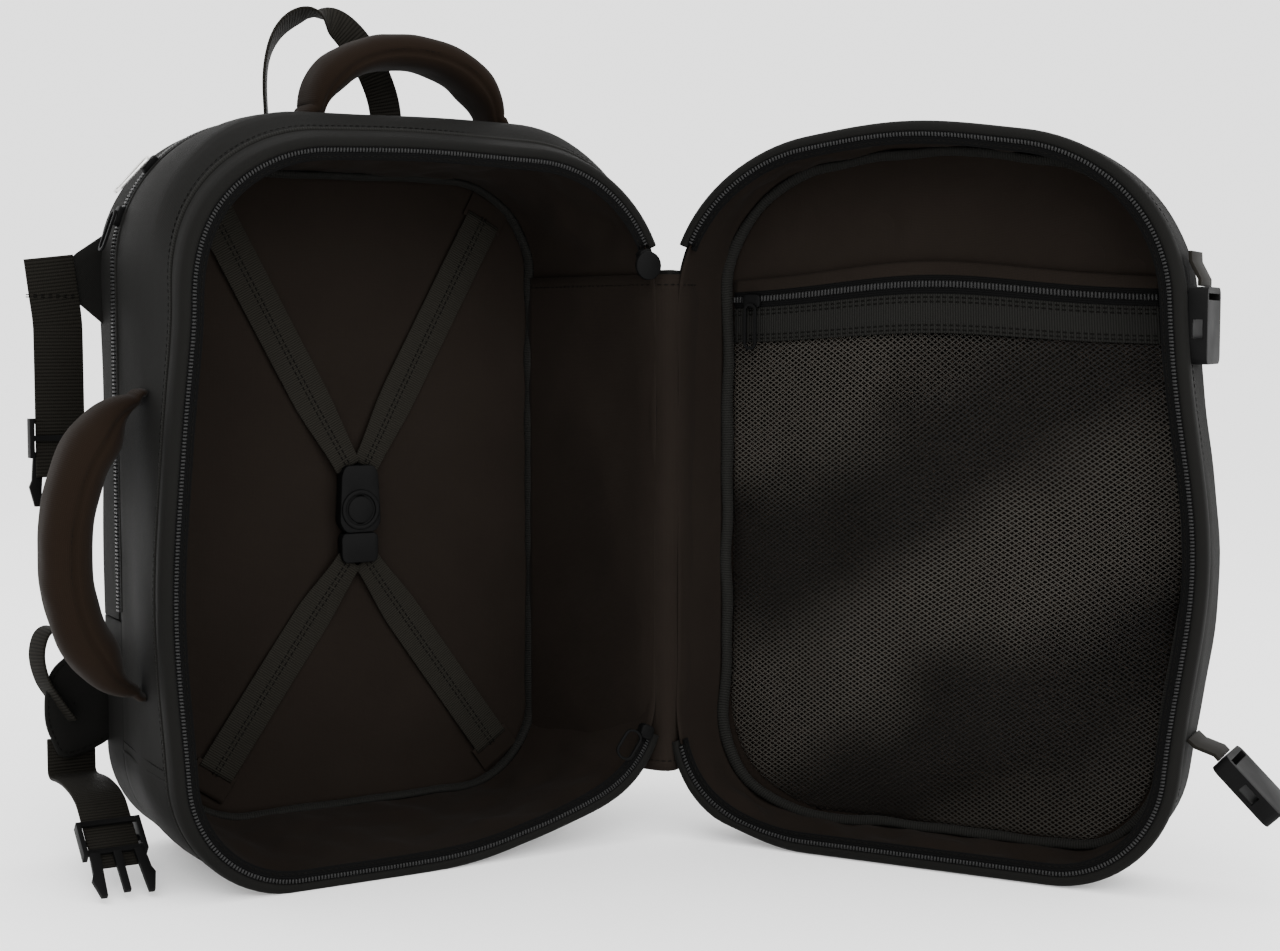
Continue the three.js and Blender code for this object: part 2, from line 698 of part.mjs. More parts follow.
// ---------------------------------------------------------------- compression straps
const LOWER_STRAP_DROP = THREE.MathUtils.degToRad(40)    // how steeply its end hangs

function buildCompressionStraps() {
  const y = 62
  const wallX = -shellForm(y).half - 0.6
  const outline = [
    [wallX, 340], [wallX, 370], [wallX - 27, 370], [wallX - 42, 355], [wallX - 42, 238], [wallX - 12, 238],
    [wallX - 12, 340],
  ]
  const strap = plate(polygon(outline), WEBBING, placed(v(0, y + 1, 0), ...FACING_FRONT))
  add('upper_compression_strap', strap, webbing())
  const down = placed(v(wallX - 27, y, 262), v(-1, 0, 0), v(0, 0, -1))
  add('upper_male_buckle', threadedBuckle(down), buckle())
  const lowX = wallX - 21.4
  const hang = v(0, -Math.cos(LOWER_STRAP_DROP), -Math.sin(LOWER_STRAP_DROP))
  const frame = v(lowX, -14, 29)
  const tail = frame.clone().addScaledVector(hang, 20)
  const path = [
    [72.4, 57], [71.4, 52], [66, 50.4], [52, 51.6], [38, 52], [22, 50.6], [12, 48.2], [4.4, 44.4], [tail.y, tail.z],
  ]
  const low = ribbon(path, STRAP_WIDTH, WEBBING, v(lowX, 0, 0), v(0, 1, 0), v(0, 0, 1))
  add('lower_compression_strap', low, webbing())
  const forward = placed(frame, v(1, 0, 0), hang)
  add('lower_male_buckle', threadedBuckle(forward), buckle())
}

// The buckle frame with its bars in front of and behind the webbing it slides on.
function threadedBuckle(place) {
  const w = BUCKLE_WIDTH
  const rails = [-1, 1].map((side) => box(2.8, 24, 7, v(side * (w / 2 - 1.4), 0, 0)))
  const bars = [
    box(w, 3.4, 2, v(0, -10.3, -2.4)), box(w, 3.4, 2, v(0, 0, 2.4)), box(w, 3.4, 2, v(0, 10.3, -2.4)),
  ]
  let body = solid(rails[0])
  for (const piece of [rails[1], ...bars]) body = body.add(solid(piece))
  const prong = [[-16, 11.8], [-17, 26], [-18.6, 30], [-15.5, 42], [-12, 42], [-11, 30], [-10, 11.8]]
  const mirror = prong.map(([a, b]) => [-a, b]).reverse()
  const centre = [[-2.4, 11.8], [-2, 40], [2, 40], [2.4, 11.8]]
  const lift = new THREE.Matrix4().makeTranslation(0, 0, -4.6)
  for (const points of [prong, mirror, centre]) body = body.add(solid(plate(polygon(points), 3, lift)))
  const geometry = fromSolid(body)
  geometry.applyMatrix4(place)
  geometry.computeVertexNormals()
  return geometry
}

// ---------------------------------------------------------------- buckles on the door's free edge
// Each hangs on a short web sewn to the free side. The lower one is stored swung outward.
const DOOR_WIDTH = 2 * HALF_WIDTH
const STUB_OUT = 28                       // distance from the opening plane to the web's middle

function onDoorSide(u, depth, z) {
  return HINGE.clone().addScaledVector(DOOR_DIRECTION, u).addScaledVector(DOOR_OUTWARD, depth).setZ(z)
}

function hangingBuckle(name, z, swing) {
  const pivot = onDoorSide(DOOR_WIDTH + 0.8, STUB_OUT, z)
  const turn = new THREE.Matrix4().makeTranslation(pivot.x, pivot.y, pivot.z)
    .multiply(new THREE.Matrix4().makeRotationAxis(DOOR_OUTWARD, -THREE.MathUtils.degToRad(swing)))
    .multiply(new THREE.Matrix4().makeTranslation(-pivot.x, -pivot.y, -pivot.z))
  const path = [[1.4, 0], [1.8, -6], [7, -16], [7, -20]]
  const web = ribbon(path, STRAP_WIDTH, WEBBING, pivot, DOOR_DIRECTION, v(0, 0, 1))
  const top = onDoorSide(DOOR_WIDTH + 13.4, STUB_OUT, z - 20.4 - 22)
  const body = femaleBuckle(placed(top, DOOR_OUTWARD, v(0, 0, -1)))
  for (const geometry of [web, body]) {
    geometry.applyMatrix4(turn)
    geometry.computeVertexNormals()
  }
  add(`${name}_female_webbing`, web, webbing())
  add(`${name}_female_buckle`, body, buckle())
}

function buildDoorBuckles() {
  hangingBuckle('upper', 372.4, 0)
  hangingBuckle('lower', 92, 45)
}

// ---------------------------------------------------------------- cross straps and their clip
const CROSS_Y = LINING_BACK_Y - 4.6       // middle of the elastic
const CLIP_TOP = 240
const CLIP_SPLIT = 196
const CLIP_FOOT = 176

const CLIP_WIDTH = 42

// A slanted elastic, cut off where it meets its partner in the middle.
function crossStrap(name, outer, inner) {
  const side = Math.sign(outer[0])
  const slope = Math.atan2(Math.abs(outer[0] - inner[0]), Math.abs(outer[1] - inner[1]))
  const reach = side * ELASTIC_WIDTH / 2 / Math.cos(slope)
  const middle = side * GAP / 2
  const share = (outer[0] - reach - middle) / (outer[0] - inner[0])
  const meeting = outer[1] + (inner[1] - outer[1]) * share
  const points = [[outer[0] + reach, outer[1]], [outer[0] - reach, outer[1]],
    [middle, meeting], [middle, inner[1]], [inner[0] + reach, inner[1]]]
  add(name, plate(polygon(points), 1.6, placed(v(0, CROSS_Y + 0.8, 0), ...FACING_FRONT)), webbing())
}

function buildCrossStraps() {
  crossStrap('cross_strap_upper_left', [-94, 402], [-6, CLIP_TOP + GAP])
  crossStrap('cross_strap_upper_right', [94, 402], [6, CLIP_TOP + GAP])
  crossStrap('cross_strap_lower_left', [-98, 46], [-6, CLIP_FOOT - GAP])
  crossStrap('cross_strap_lower_right', [98, 46], [6, CLIP_FOOT - GAP])
  const face = placed(v(0, CROSS_Y + 0.8, (CLIP_TOP + CLIP_SPLIT) / 2), ...FACING_FRONT)
  let socket = solid(plate(roundedRect(CLIP_WIDTH, CLIP_TOP - CLIP_SPLIT, 9), 9, face))
  const buttonZ = 211
  const bore = new THREE.CylinderGeometry(9.4, 9.4, 8, 20)
  bore.deleteAttribute('normal')
  bore.deleteAttribute('uv')
  bore.translate(0, CROSS_Y - 9, buttonZ)
  socket = socket.subtract(solid(mergeVertices(bore, 1e-4)))
  socket = socket.subtract(solid(box(28, 4.4, 32, v(0, CROSS_Y - 3, CLIP_SPLIT + 10))))
  add('cross_clip_socket', fromSolid(socket), buckle())
  const frame = roundedRect(CLIP_WIDTH, CLIP_SPLIT - GAP - CLIP_FOOT, 6)
  const foot = placed(v(0, CROSS_Y + 0.8, (CLIP_SPLIT - GAP + CLIP_FOOT) / 2), ...FACING_FRONT)
  let tongue = solid(plate(frame, 8, foot))
  tongue = tongue.add(solid(box(26.8, 3.4, 34, v(0, CROSS_Y - 3, CLIP_SPLIT + 4))))
  add('cross_clip_tongue', fromSolid(tongue), buckle())
  const button = new THREE.CylinderGeometry(9, 9, 3, 20)
  button.translate(0, CROSS_Y - 7.7, buttonZ)
  button.deleteAttribute('normal')
  button.deleteAttribute('uv')
  add('cross_clip_button', mergeVertices(button, 1e-4), buckle())
}

// ---------------------------------------------------------------- zip sliders and pullers
function buildMainSliders() {
  const spots = [
    { name: 'top', centre: [HALF_WIDTH - TOP_RADIUS, FRONT_HEIGHT - TOP_RADIUS], r: TOP_RADIUS - 12, deg: 21.5 },
    { name: 'foot', centre: [HALF_WIDTH - HINGE_FOOT_RADIUS, HINGE_FOOT_RADIUS], r: HINGE_FOOT_RADIUS - 12, deg: -19.5 },
  ]
  for (const { name, centre, r, deg } of spots) {
    const a = THREE.MathUtils.degToRad(deg)
    const outward = v(Math.cos(a), 0, Math.sin(a))
    const along = v(-Math.sin(a), 0, Math.cos(a))
    const middle = v(centre[0], Y_OPENING + 2, centre[1]).addScaledVector(outward, r)
    const body = plate(roundedRect(9, 10, 3), 6.4, placed(middle, outward, along))
    add(`main_slider_${name}`, body, zipMetal())
  }
  const disc = new THREE.Shape()
  disc.absarc(0, 0, 9, 0, 2 * Math.PI, false)
  add('main_puller_top', plate(disc, 3, placed(v(142, Y_OPENING - 4.8, 368), ...FACING_FRONT), 10), zipMetal())
  const ring = pullLoop(13, 24, 1.8)
  const lean = THREE.MathUtils.degToRad(30)
  const acrossRing = v(Math.cos(lean), 0, -Math.sin(lean))
  const alongRing = v(Math.sin(lean), 0, Math.cos(lean))
  const low = placed(v(128.5, Y_OPENING - 4.8, 57.5), acrossRing, alongRing)
  add('main_puller_foot', plate(ring, 1.8, low, 4), zipMetal())
}

// The two sliders of the laptop zip meet on the corner away from the hinge.
function buildRearSliders() {
  const form = shellForm(Y_REAR_ZIP)
  const centre = v(-form.half + TOP_RADIUS, Y_REAR_ZIP, form.top - TOP_RADIUS)
  const spots = [
    { name: 'upper', deg: 43, length: 31, material: silverMetal(), wire: 2.2 },
    { name: 'lower', deg: 20, length: 27, material: zipMetal(), wire: 1.8 },
  ]
  for (const { name, deg, length, material, wire } of spots) {
    const a = THREE.MathUtils.degToRad(deg)
    const outward = v(-Math.cos(a), 0, Math.sin(a))
    const along = v(Math.sin(a), 0, Math.cos(a))
    const base = centre.clone().addScaledVector(outward, TOP_RADIUS + 0.4)
    const body = plate(roundedRect(12, 9, 3), 4, placed(base, along, v(0, 1, 0)))
    add(`rear_slider_${name}`, body, zipMetal())
    const hang = base.clone().addScaledVector(outward, 4.6).addScaledVector(along, 3 - length / 2)
    const loop = plate(pullLoop(length, 10, wire), 1.6, placed(hang, along, v(0, 1, 0)), 4)
    add(`rear_puller_${name}`, loop, material)
  }
}

// ---------------------------------------------------------------- shoulder straps
function sectionStrap(stops) {
  const rows = stops.map((stop, i) => {
    const next = stops[Math.min(i + 1, stops.length - 1)].at
    const last = stops[Math.max(i - 1, 0)].at
    const run = next.clone().sub(last).normalize()
    const across = stop.across.clone().addScaledVector(run, -stop.across.dot(run)).normalize()
    const up = run.clone().cross(across)
    return stop.profile.map(([w, t]) => stop.at.clone()
      .addScaledVector(across, w * stop.width / 2).addScaledVector(up, t * stop.thickness / 2))
  })
  return loft(rows)
}

const PAD_PROFILE = [[-1, 0.35], [-0.85, 1], [0.85, 1], [1, 0.35], [1, -0.35], [0.85, -1], [-0.85, -1], [-1, -0.35]]
const FLAT_PROFILE = [[-1, 1], [1, 1], [1, -1], [-1, -1]]

function buildShoulderStraps() {
  for (const side of [-1, 1]) {
    const word = side < 0 ? 'left' : 'right'
    const across = v(1, 0, 0)
    const path = [[34, 412, 88, 52, 7], [40, 386, 92, 58, 12], [56, 340, 94, 62, 13], [72, 290, 95, 62, 13],
      [84, 240, 94, 56, 13], [90, 200, 93, 44, 12], [92, 180, 91, 32, 8]]
    const stops = path.map(([x, z, y, width, thickness]) => (
      { at: v(side * x, y, z), width, thickness, across, profile: PAD_PROFILE }))
    add(`${word}_shoulder_strap`, sectionStrap(stops), padFabric())
    const lock = roundedRect(32, 24, 4)
    lock.holes.push(rectHole(0, 5, 26, 3.8), rectHole(0, -5, 26, 3.8))
    const lockPlace = placed(v(side * 93, 93.4, 166), ...FACING_FRONT)
    add(`${word}_strap_adjuster`, plate(lock, 4.6, lockPlace), buckle())
    const web = [[93, 91.2, 151], [94, 91.2, 144], [106, 91, 132], [134, 89, 118], [158, 84, 110], [174, 76.5, 104],
      [190, 72.8, 98]]
    const webStops = web.map(([x, y, z], i) => {
      const turn = i / (web.length - 1)
      const direction = v(side * (1 - turn), 0, turn)
      return { at: v(side * x, y, z), width: ELASTIC_WIDTH, thickness: WEBBING, across: direction, profile: FLAT_PROFILE }
    })
    add(`${word}_lower_webbing`, sectionStrap(webStops), webbing())
  }
}

buildShell()
buildRim()
buildMainZipOnShell()
buildHingeFold()
buildLining()
buildLaptopCompartment()
buildDoorShell()
buildMeshPocket()
buildFrontPocket()
buildHandles()
buildCompressionStraps()
buildDoorBuckles()
buildCrossStraps()
buildMainSliders()
buildRearSliders()
buildShoulderStraps()

export default bag
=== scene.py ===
"""A travel backpack standing open on its side hinge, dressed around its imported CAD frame.

Shapes are worked out in millimetres and stored in metres. Every curved wall follows the bag's outline,
settled a little at the opening where the soft shell sags, and the door is drawn closed and swung open.
"""
import math
import json

import bmesh
import bpy
import numpy as np
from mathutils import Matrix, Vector

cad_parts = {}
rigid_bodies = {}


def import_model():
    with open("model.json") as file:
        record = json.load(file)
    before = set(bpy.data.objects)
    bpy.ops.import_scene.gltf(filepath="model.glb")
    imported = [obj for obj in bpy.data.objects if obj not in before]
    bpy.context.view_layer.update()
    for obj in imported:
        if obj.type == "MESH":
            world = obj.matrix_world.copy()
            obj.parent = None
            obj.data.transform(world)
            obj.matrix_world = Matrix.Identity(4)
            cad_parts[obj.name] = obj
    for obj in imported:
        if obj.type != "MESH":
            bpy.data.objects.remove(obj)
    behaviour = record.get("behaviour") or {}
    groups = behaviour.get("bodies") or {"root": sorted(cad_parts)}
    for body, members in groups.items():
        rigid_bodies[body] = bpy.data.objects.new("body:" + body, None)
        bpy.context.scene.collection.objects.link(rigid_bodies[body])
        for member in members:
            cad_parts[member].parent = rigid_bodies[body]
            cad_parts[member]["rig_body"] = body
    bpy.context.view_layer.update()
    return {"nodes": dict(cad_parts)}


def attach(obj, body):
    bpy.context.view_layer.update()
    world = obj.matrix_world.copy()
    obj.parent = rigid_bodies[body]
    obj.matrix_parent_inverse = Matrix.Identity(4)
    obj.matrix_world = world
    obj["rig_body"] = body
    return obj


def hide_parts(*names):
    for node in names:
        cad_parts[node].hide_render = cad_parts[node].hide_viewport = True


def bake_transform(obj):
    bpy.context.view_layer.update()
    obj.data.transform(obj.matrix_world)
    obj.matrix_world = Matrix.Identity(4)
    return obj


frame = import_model()
MM = 0.001

# ---------------------------------------------------------------- driving dimensions, mm
HALF_WIDTH = 160
FRONT_HEIGHT = 436
BACK_HEIGHT = 456
TOP_RADIUS = 92
FREE_FOOT_RADIUS = 70
HINGE_FOOT_RADIUS = 95
Y_OPENING = -82
Y_REAR_ZIP = 36
Y_BACK = 82
REAR_EDGE_RADIUS = 14
DOOR_DEPTH = 60
DOOR_CORNER = 16
DOOR_FOOT = 1.5
DOOR_TURN = math.radians(122)
DOOR_FRONT_Y = Y_OPENING - DOOR_DEPTH
FLAP_SEAM_Z = 150
LINING_BACK_Y = 52
LINING_INSET = 5.6
CROSS_Y = LINING_BACK_Y - 4.6
CLIP_Z = 211
STRAP_WIDTH = 30
ELASTIC_WIDTH = 25
HINGE_ZIP_TOP = 381
HINGE_ZIP_FOOT = 64
HINGE_PANEL_TOP = 363
HINGE_PANEL_FOOT = 44
HINGE_COLUMNS = 44
POCKET_Y = DOOR_FRONT_Y + 7.4
POCKET_TOP = 343
POCKET_HALF = 138
POCKET_FOOT = 14
POCKET_RADII = (58, 83)
MESH_SLOPE = 1.45
MESH_OPENNESS = 0.86
MESH_SHADE_BAND_PITCH = 190
HANDLE_CAD_THICKNESS = 8
HANDLE_STEPS = 110
TOP_HANDLE_X = 9
TOP_HANDLE_Y = -12
FLOOR_GAP = 0.1
SHELL_DEPTH = 118
ARC_STOPS = (15, 30, 45, 60, 72, 82)
FINE_STITCH = (2.2, 1.6, 0.3, 0.2)
SIDEWAYS = np.array([1.0, 0.0, 0.0])
REARWARD = np.array([0.0, 1.0, 0.0])
FORWARD = np.array([0.0, -1.0, 0.0])
UPWARD = np.array([0.0, 0.0, 1.0])


# ---------------------------------------------------------------- small maths
def smooth(t):
    k = np.clip(t, 0.0, 1.0)
    return k * k * (3 - 2 * k)


def bell(x, middle, width):
    return np.exp(-(((x - middle) / width) ** 2))


def unit(v):
    return v / np.maximum(np.linalg.norm(v, axis=-1, keepdims=True), 1e-9)


def ripple(p, wavelength, seed, count=9):
    """Smooth pseudo-random waves, about -1 to 1, at points p (..., 3) in mm."""
    rng = np.random.default_rng(seed)
    total = np.zeros(p.shape[:-1])
    for _ in range(count):
        k = unit(rng.normal(size=3)) * 2 * np.pi / (wavelength * rng.uniform(0.7, 1.5))
        total += np.sin(p @ k + rng.uniform(0, 2 * np.pi))
    return total / math.sqrt(count)


def crumple(p, wavelength, seed):
    """Sharper folds than ripple: creases where two waves cross zero."""
    a = ripple(p, wavelength, seed)
    b = ripple(p, wavelength * 0.6, seed + 50)
    return 0.7 - np.abs(a) - 0.45 * np.abs(b)


# ---------------------------------------------------------------- the bag's outline
LOOP_STEPS = (34, 22, 20, 22, 34, 24, 26, 18)


def form_at(y=Y_OPENING):
    """The shell's outline at depth y: it swells upward behind the opening and sideways in the middle."""
    rise = float(smooth((y - Y_OPENING) / 44))
    swell = 3 * math.sin(math.pi * min(max((y - Y_OPENING) / SHELL_DEPTH, 0), 1))
    return dict(half=HALF_WIDTH + swell, top=FRONT_HEIGHT + (BACK_HEIGHT - FRONT_HEIGHT) * rise, bottom=0.0,
                top_radius=TOP_RADIUS, free_radius=FREE_FOOT_RADIUS, hinge_radius=HINGE_FOOT_RADIUS)


def door_form(_y=None):
    """The door's wall stands straight out from the opening, so its outline is the same at every depth."""
    return dict(form_at(), bottom=DOOR_FOOT)


def mixed_form(first, last, t):
    return {key: first[key] + (last[key] - first[key]) * t for key in first}


LINING_FRONT = dict(half=HALF_WIDTH - LINING_INSET, top=FRONT_HEIGHT - LINING_INSET, bottom=LINING_INSET,
                    top_radius=TOP_RADIUS - LINING_INSET, free_radius=FREE_FOOT_RADIUS - LINING_INSET,
                    hinge_radius=HINGE_FOOT_RADIUS - LINING_INSET)
LINING_BACK = dict(half=130, top=430, bottom=14, top_radius=64, free_radius=52, hinge_radius=60)


def lining_form(y):
    return mixed_form(LINING_FRONT, LINING_BACK, (y - Y_OPENING - 3.2) / (LINING_BACK_Y - Y_OPENING - 3.2))


def outline(form, places, inset=0.0):
    """Points (n, 2) as x and z at places 0 to 8 round the outline: up the free side, over the top, down the
    hinge side, along the base. A place's whole part is its segment, and inset moves the point inward."""
    places = np.asarray(places, float) % 8
    segment = np.floor(places).astype(int)
    t = places - segment
    half, top, bottom = form["half"], form["top"], form["bottom"]
    rt, rf, rh = form["top_radius"], form["free_radius"], form["hinge_radius"]
    inset = np.broadcast_to(np.asarray(inset, float), t.shape)

    def arc(cx, cz, r, start, end):
        a = np.radians(start + (end - start) * t)
        return np.stack([cx + (r - inset) * np.cos(a), cz + (r - inset) * np.sin(a)], -1)

    def line(x0, z0, x1, z1):
        return np.stack([x0 + (x1 - x0) * t, z0 + (z1 - z0) * t], -1)

    parts = [
        line(0, bottom + rf, 0, top - rt) + np.stack([-half + inset, 0 * t], -1),
        arc(-half + rt, top - rt, rt, 180, 90),
        line(-half + rt, 0, half - rt, 0) + np.stack([0 * t, top - inset], -1),
        arc(half - rt, top - rt, rt, 90, 0),
        line(0, top - rt, 0, bottom + rh) + np.stack([half - inset, 0 * t], -1),
        arc(half - rh, bottom + rh, rh, 0, -90),
        line(half - rh, 0, -half + rf, 0) + np.stack([0 * t, bottom + inset], -1),
        arc(-half + rf, bottom + rf, rf, 270, 180),
    ]
    return np.choose(segment[:, None], parts)


def whole_round(density=1.0):
    spans = [s + np.arange(int(n * density)) / int(n * density) for s, n in enumerate(LOOP_STEPS)]
    return np.concatenate(spans)


def part_round(start, end, density=1.0):
    """Places from start forward to end, passing the turn from segment 7 to 0."""
    end = end if end > start else end + 8
    inner = np.concatenate([whole_round(density), whole_round(density) + 8])
    inner = inner[(inner > start + 0.004) & (inner < end - 0.004)]
    return np.concatenate([[start], inner, [end]])


ZIP_TOP_T = 1 - math.asin((HINGE_ZIP_TOP - FRONT_HEIGHT + TOP_RADIUS) / TOP_RADIUS) / (math.pi / 2)
ZIP_FOOT_T = math.asin((HINGE_FOOT_RADIUS - HINGE_ZIP_FOOT) / HINGE_FOOT_RADIUS) / (math.pi / 2)
OPENING_ROUTE = (5 + ZIP_FOOT_T, 3 + ZIP_TOP_T)


def side_place(form, z, segment):
    low, high = outline(form, [segment + 0.0, segment + 0.999999])[:, 1]
    return segment + (z - low) / (high - low)


# ---------------------------------------------------------------- how the soft shell settles
def settle(p):
    """The free side bows out low down, and the foot beside the hinge lifts, near the opening only."""
    p = np.array(p, float)
    x, y, z = p[..., 0], p[..., 1], p[..., 2]
    near = 1 - smooth((y - Y_OPENING) / 100)
    left = smooth((-x - 90) / 60)
    bow = left * near * (8.5 * bell(z, 168, 90) - 5 * bell(z, 345, 50))
    lift = near * 15 * bell(x, 92, 52) * (1 - smooth((z - 30) / 110))
    crown = near * 3.5 * bell(x, -10, 70) * smooth((z - 330) / 90)
    p[..., 0] = x - bow
    p[..., 2] = np.maximum(z + lift + crown, FLOOR_GAP)
    return p


def puff_door(p):
    """The open door relaxes: its free side and its top bulge outward. p is on the closed door."""
    p = np.array(p, float)
    u, z = HALF_WIDTH - p[..., 0], p[..., 2]
    out = 17 * bell(z, 195, 95) * smooth((u - 60) / 240)
    up = 15 * bell(u, 155, 85) * smooth((z - 230) / 190)
    foot = 10 * bell(u, 18, 40) * (1 - smooth((z - 30) / 90))
    p[..., 0] = p[..., 0] - out + 0.5 * foot
    p[..., 2] = np.maximum(z + up - 0.6 * foot * smooth((z - 2) / 20), FLOOR_GAP)
    return p


def swing(p):
    p = np.array(p, float)
    dx, dy = p[..., 0] - HALF_WIDTH, p[..., 1] - Y_OPENING
    c, s = math.cos(DOOR_TURN), math.sin(DOOR_TURN)
    p[..., 0] = HALF_WIDTH + dx * c - dy * s
    p[..., 1] = Y_OPENING + dx * s + dy * c
    return p


def open_door(p):
    return swing(puff_door(p))


def moved_by(shift):
    return lambda p: p + shift


def same(p):
    return np.array(p, float)


# ---------------------------------------------------------------- meshes
class Build:
    """Gathers grids and boxes into one mesh with UVs in metres."""

    def __init__(self):
        self.verts, self.faces, self.uvs, self.count = [], [], [], 0

    def grid(self, points, wrap_u=False, wrap_v=False, cap=False, uv=None):
        """points (rows, columns, 3) in mm. wrap_u joins the last column to the first, wrap_v the last row."""
        points = np.asarray(points, float)
        rows, cols = points.shape[:2]
        base = self.count
        self.verts.append(points.reshape(-1, 3))
        self.count += rows * cols
        if uv is None:
            along = np.linalg.norm(np.diff(points, axis=1, append=points[:, :1]), axis=-1)
            down = np.linalg.norm(np.diff(points, axis=0, append=points[:1]), axis=-1)
            u = np.concatenate([[0], np.cumsum(along.mean(0))])
            v = np.concatenate([[0], np.cumsum(down.mean(1))])
        else:
            u, v = uv
        r_count = rows if wrap_v else rows - 1
        c_count = cols if wrap_u else cols - 1
        r, c = np.meshgrid(np.arange(r_count), np.arange(c_count), indexing="ij")
        r2, c2 = (r + 1) % rows, (c + 1) % cols
        quads = np.stack([r * cols + c, r * cols + c2, r2 * cols + c2, r2 * cols + c], -1).reshape(-1, 4)
        self.faces.extend((quads + base).tolist())
        corner_u = np.stack([u[c], u[c + 1], u[c + 1], u[c]], -1).reshape(-1, 4)
        corner_v = np.stack([v[r], v[r], v[r + 1], v[r + 1]], -1).reshape(-1, 4)
        self.uvs.extend(np.stack([corner_u, corner_v], -1).reshape(-1, 2).tolist())
        if cap and not wrap_v:
            self.cap(base + np.arange(cols))
            self.cap((base + (rows - 1) * cols + np.arange(cols))[::-1])
        return self

    def cap(self, loop):
        self.faces.append([int(i) for i in loop])
        points = np.concatenate(self.verts)[loop]
        self.uvs.extend((points[:, [0, 2]]).tolist())

    def boxes(self, centres, ex, ey, ez):
        """Boxes with bevelled tops at centres; ex, ey, ez are half-axis vectors, one each or shared."""
        centres = np.asarray(centres, float)
        n = len(centres)
        ex, ey, ez = (np.broadcast_to(e, (n, 3)) for e in (ex, ey, ez))
        signs = [(-1, -1, -1), (1, -1, -1), (1, 1, -1), (-1, 1, -1), (-1, -1, 0.2), (1, -1, 0.2), (1, 1, 0.2),
                 (-1, 1, 0.2), (-0.6, -0.7, 1), (0.6, -0.7, 1), (0.6, 0.7, 1), (-0.6, 0.7, 1)]
        corners = np.stack([centres + a * ex + b * ey + c * ez for a, b, c in signs], 1)
        base = self.count + np.arange(n)[:, None] * 12
        faces = [(0, 3, 2, 1), (8, 9, 10, 11)]
        for ring in (0, 4):
            faces += [(ring + i, ring + (i + 1) % 4, ring + 4 + (i + 1) % 4, ring + 4 + i) for i in range(4)]
        self.verts.append(corners.reshape(-1, 3))
        self.count += n * 12
        for face in faces:
            self.faces.extend((base + np.array(face)).tolist())
            self.uvs.extend([[0, 0], [1, 0], [1, 1], [0, 1]] * n)
        return self

    def object(self, name, material, body=None, slot=None, replaces=(), warp=same, sharp=None):
        verts = warp(np.concatenate(self.verts)) * MM
        mesh = bpy.data.meshes.new(name)
        mesh.from_pydata(verts.tolist(), [], self.faces)
        layer = mesh.uv_layers.new(name="UVMap")
        layer.data.foreach_set("uv", (np.array(self.uvs, np.float32) * MM).ravel())
        mesh.validate()
        mesh.shade_smooth()
        if sharp:
            mesh.set_sharp_from_angle(angle=math.radians(sharp))
        made = bpy.data.objects.new(name, mesh)
        bpy.context.scene.collection.objects.link(made)
        fix_normals(mesh)
        mesh.materials.append(material)
        if body:
            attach(made, body)
        if replaces:
            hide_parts(*replaces)
        return made


def fix_normals(mesh):
    bm = bmesh.new()
    bm.from_mesh(mesh)
    bmesh.ops.recalc_face_normals(bm, faces=bm.faces)
    bm.to_mesh(mesh)
    bm.free()


def ring(section, places, form_of):
    """A closed or open cross-section of (y, inset) swept round the outline: rows are places."""
    loops = [np.insert(outline(form_of(y), places, inset), 1, y, axis=1) for y, inset in section]
    return np.stack(loops, 1)


def rounded(points, radius=1.0, steps=3):
    """A closed polygon with its corners cut into short arcs."""
    points = [np.array(p, float) for p in points]
    out = []
    for i, p in enumerate(points):
        before, after = points[i - 1] - p, points[(i + 1) % len(points)] - p
        reach = min(radius, np.linalg.norm(before) * 0.45, np.linalg.norm(after) * 0.45)
        a, b = p + unit(before) * reach, p + unit(after) * reach
        for k in range(steps + 1):
            t = k / steps
            out.append((1 - t) ** 2 * a + 2 * t * (1 - t) * p + t * t * b)
    return np.array(out)


def resample(points, count=None, pitch=None, closed=False):
    points = np.asarray(points, float)
    if closed:
        points = np.vstack([points, points[:1]])
    lengths = np.linalg.norm(np.diff(points, axis=0), axis=1)
    total = np.concatenate([[0], np.cumsum(lengths)])
    count = count or max(2, int(total[-1] / pitch))
    at = np.linspace(0, total[-1], count, endpoint=not closed)
    return np.stack([np.interp(at, total, points[:, i]) for i in range(points.shape[1])], -1)


def curve(points, count=24):
    """A smooth curve through points, evenly resampled (Catmull-Rom)."""
    p = np.asarray(points, float)
    p = np.vstack([2 * p[0] - p[1], p, 2 * p[-1] - p[-2]])
    out = []
    for i in range(1, len(p) - 2):
        t = np.linspace(0, 1, 16, endpoint=False)[:, None]
        a, b, c, d = p[i - 1], p[i], p[i + 1], p[i + 2]
        out.append(0.5 * (2 * b + (c - a) * t + (2 * a - 5 * b + 4 * c - d) * t ** 2
                          + (3 * b - a - 3 * c + d) * t ** 3))
    out.append(p[-2:-1])
    return resample(np.vstack(out), count)


def tangents(path):
    return unit(np.gradient(path, axis=0))


def sweep(path, across, section):
    """section (rows?, m, 2): distances across and up, per path point or shared. Rows are path points."""
    run = tangents(path)
    across = np.broadcast_to(np.asarray(across, float), path.shape)
    across = unit(across - run * np.sum(across * run, -1, keepdims=True))
    up = np.cross(across, run)
    section = np.asarray(section, float)
    if section.ndim == 2:
        section = np.broadcast_to(section, (len(path),) + section.shape)
    return (path[:, None] + across[:, None] * section[..., :1] + up[:, None] * section[..., 1:])


def flat_section(width, thickness):
    r = min(thickness * 0.45, 0.9)
    return rounded([(-width / 2, -thickness / 2), (width / 2, -thickness / 2), (width / 2, thickness / 2),
                    (-width / 2, thickness / 2)], r, 2)


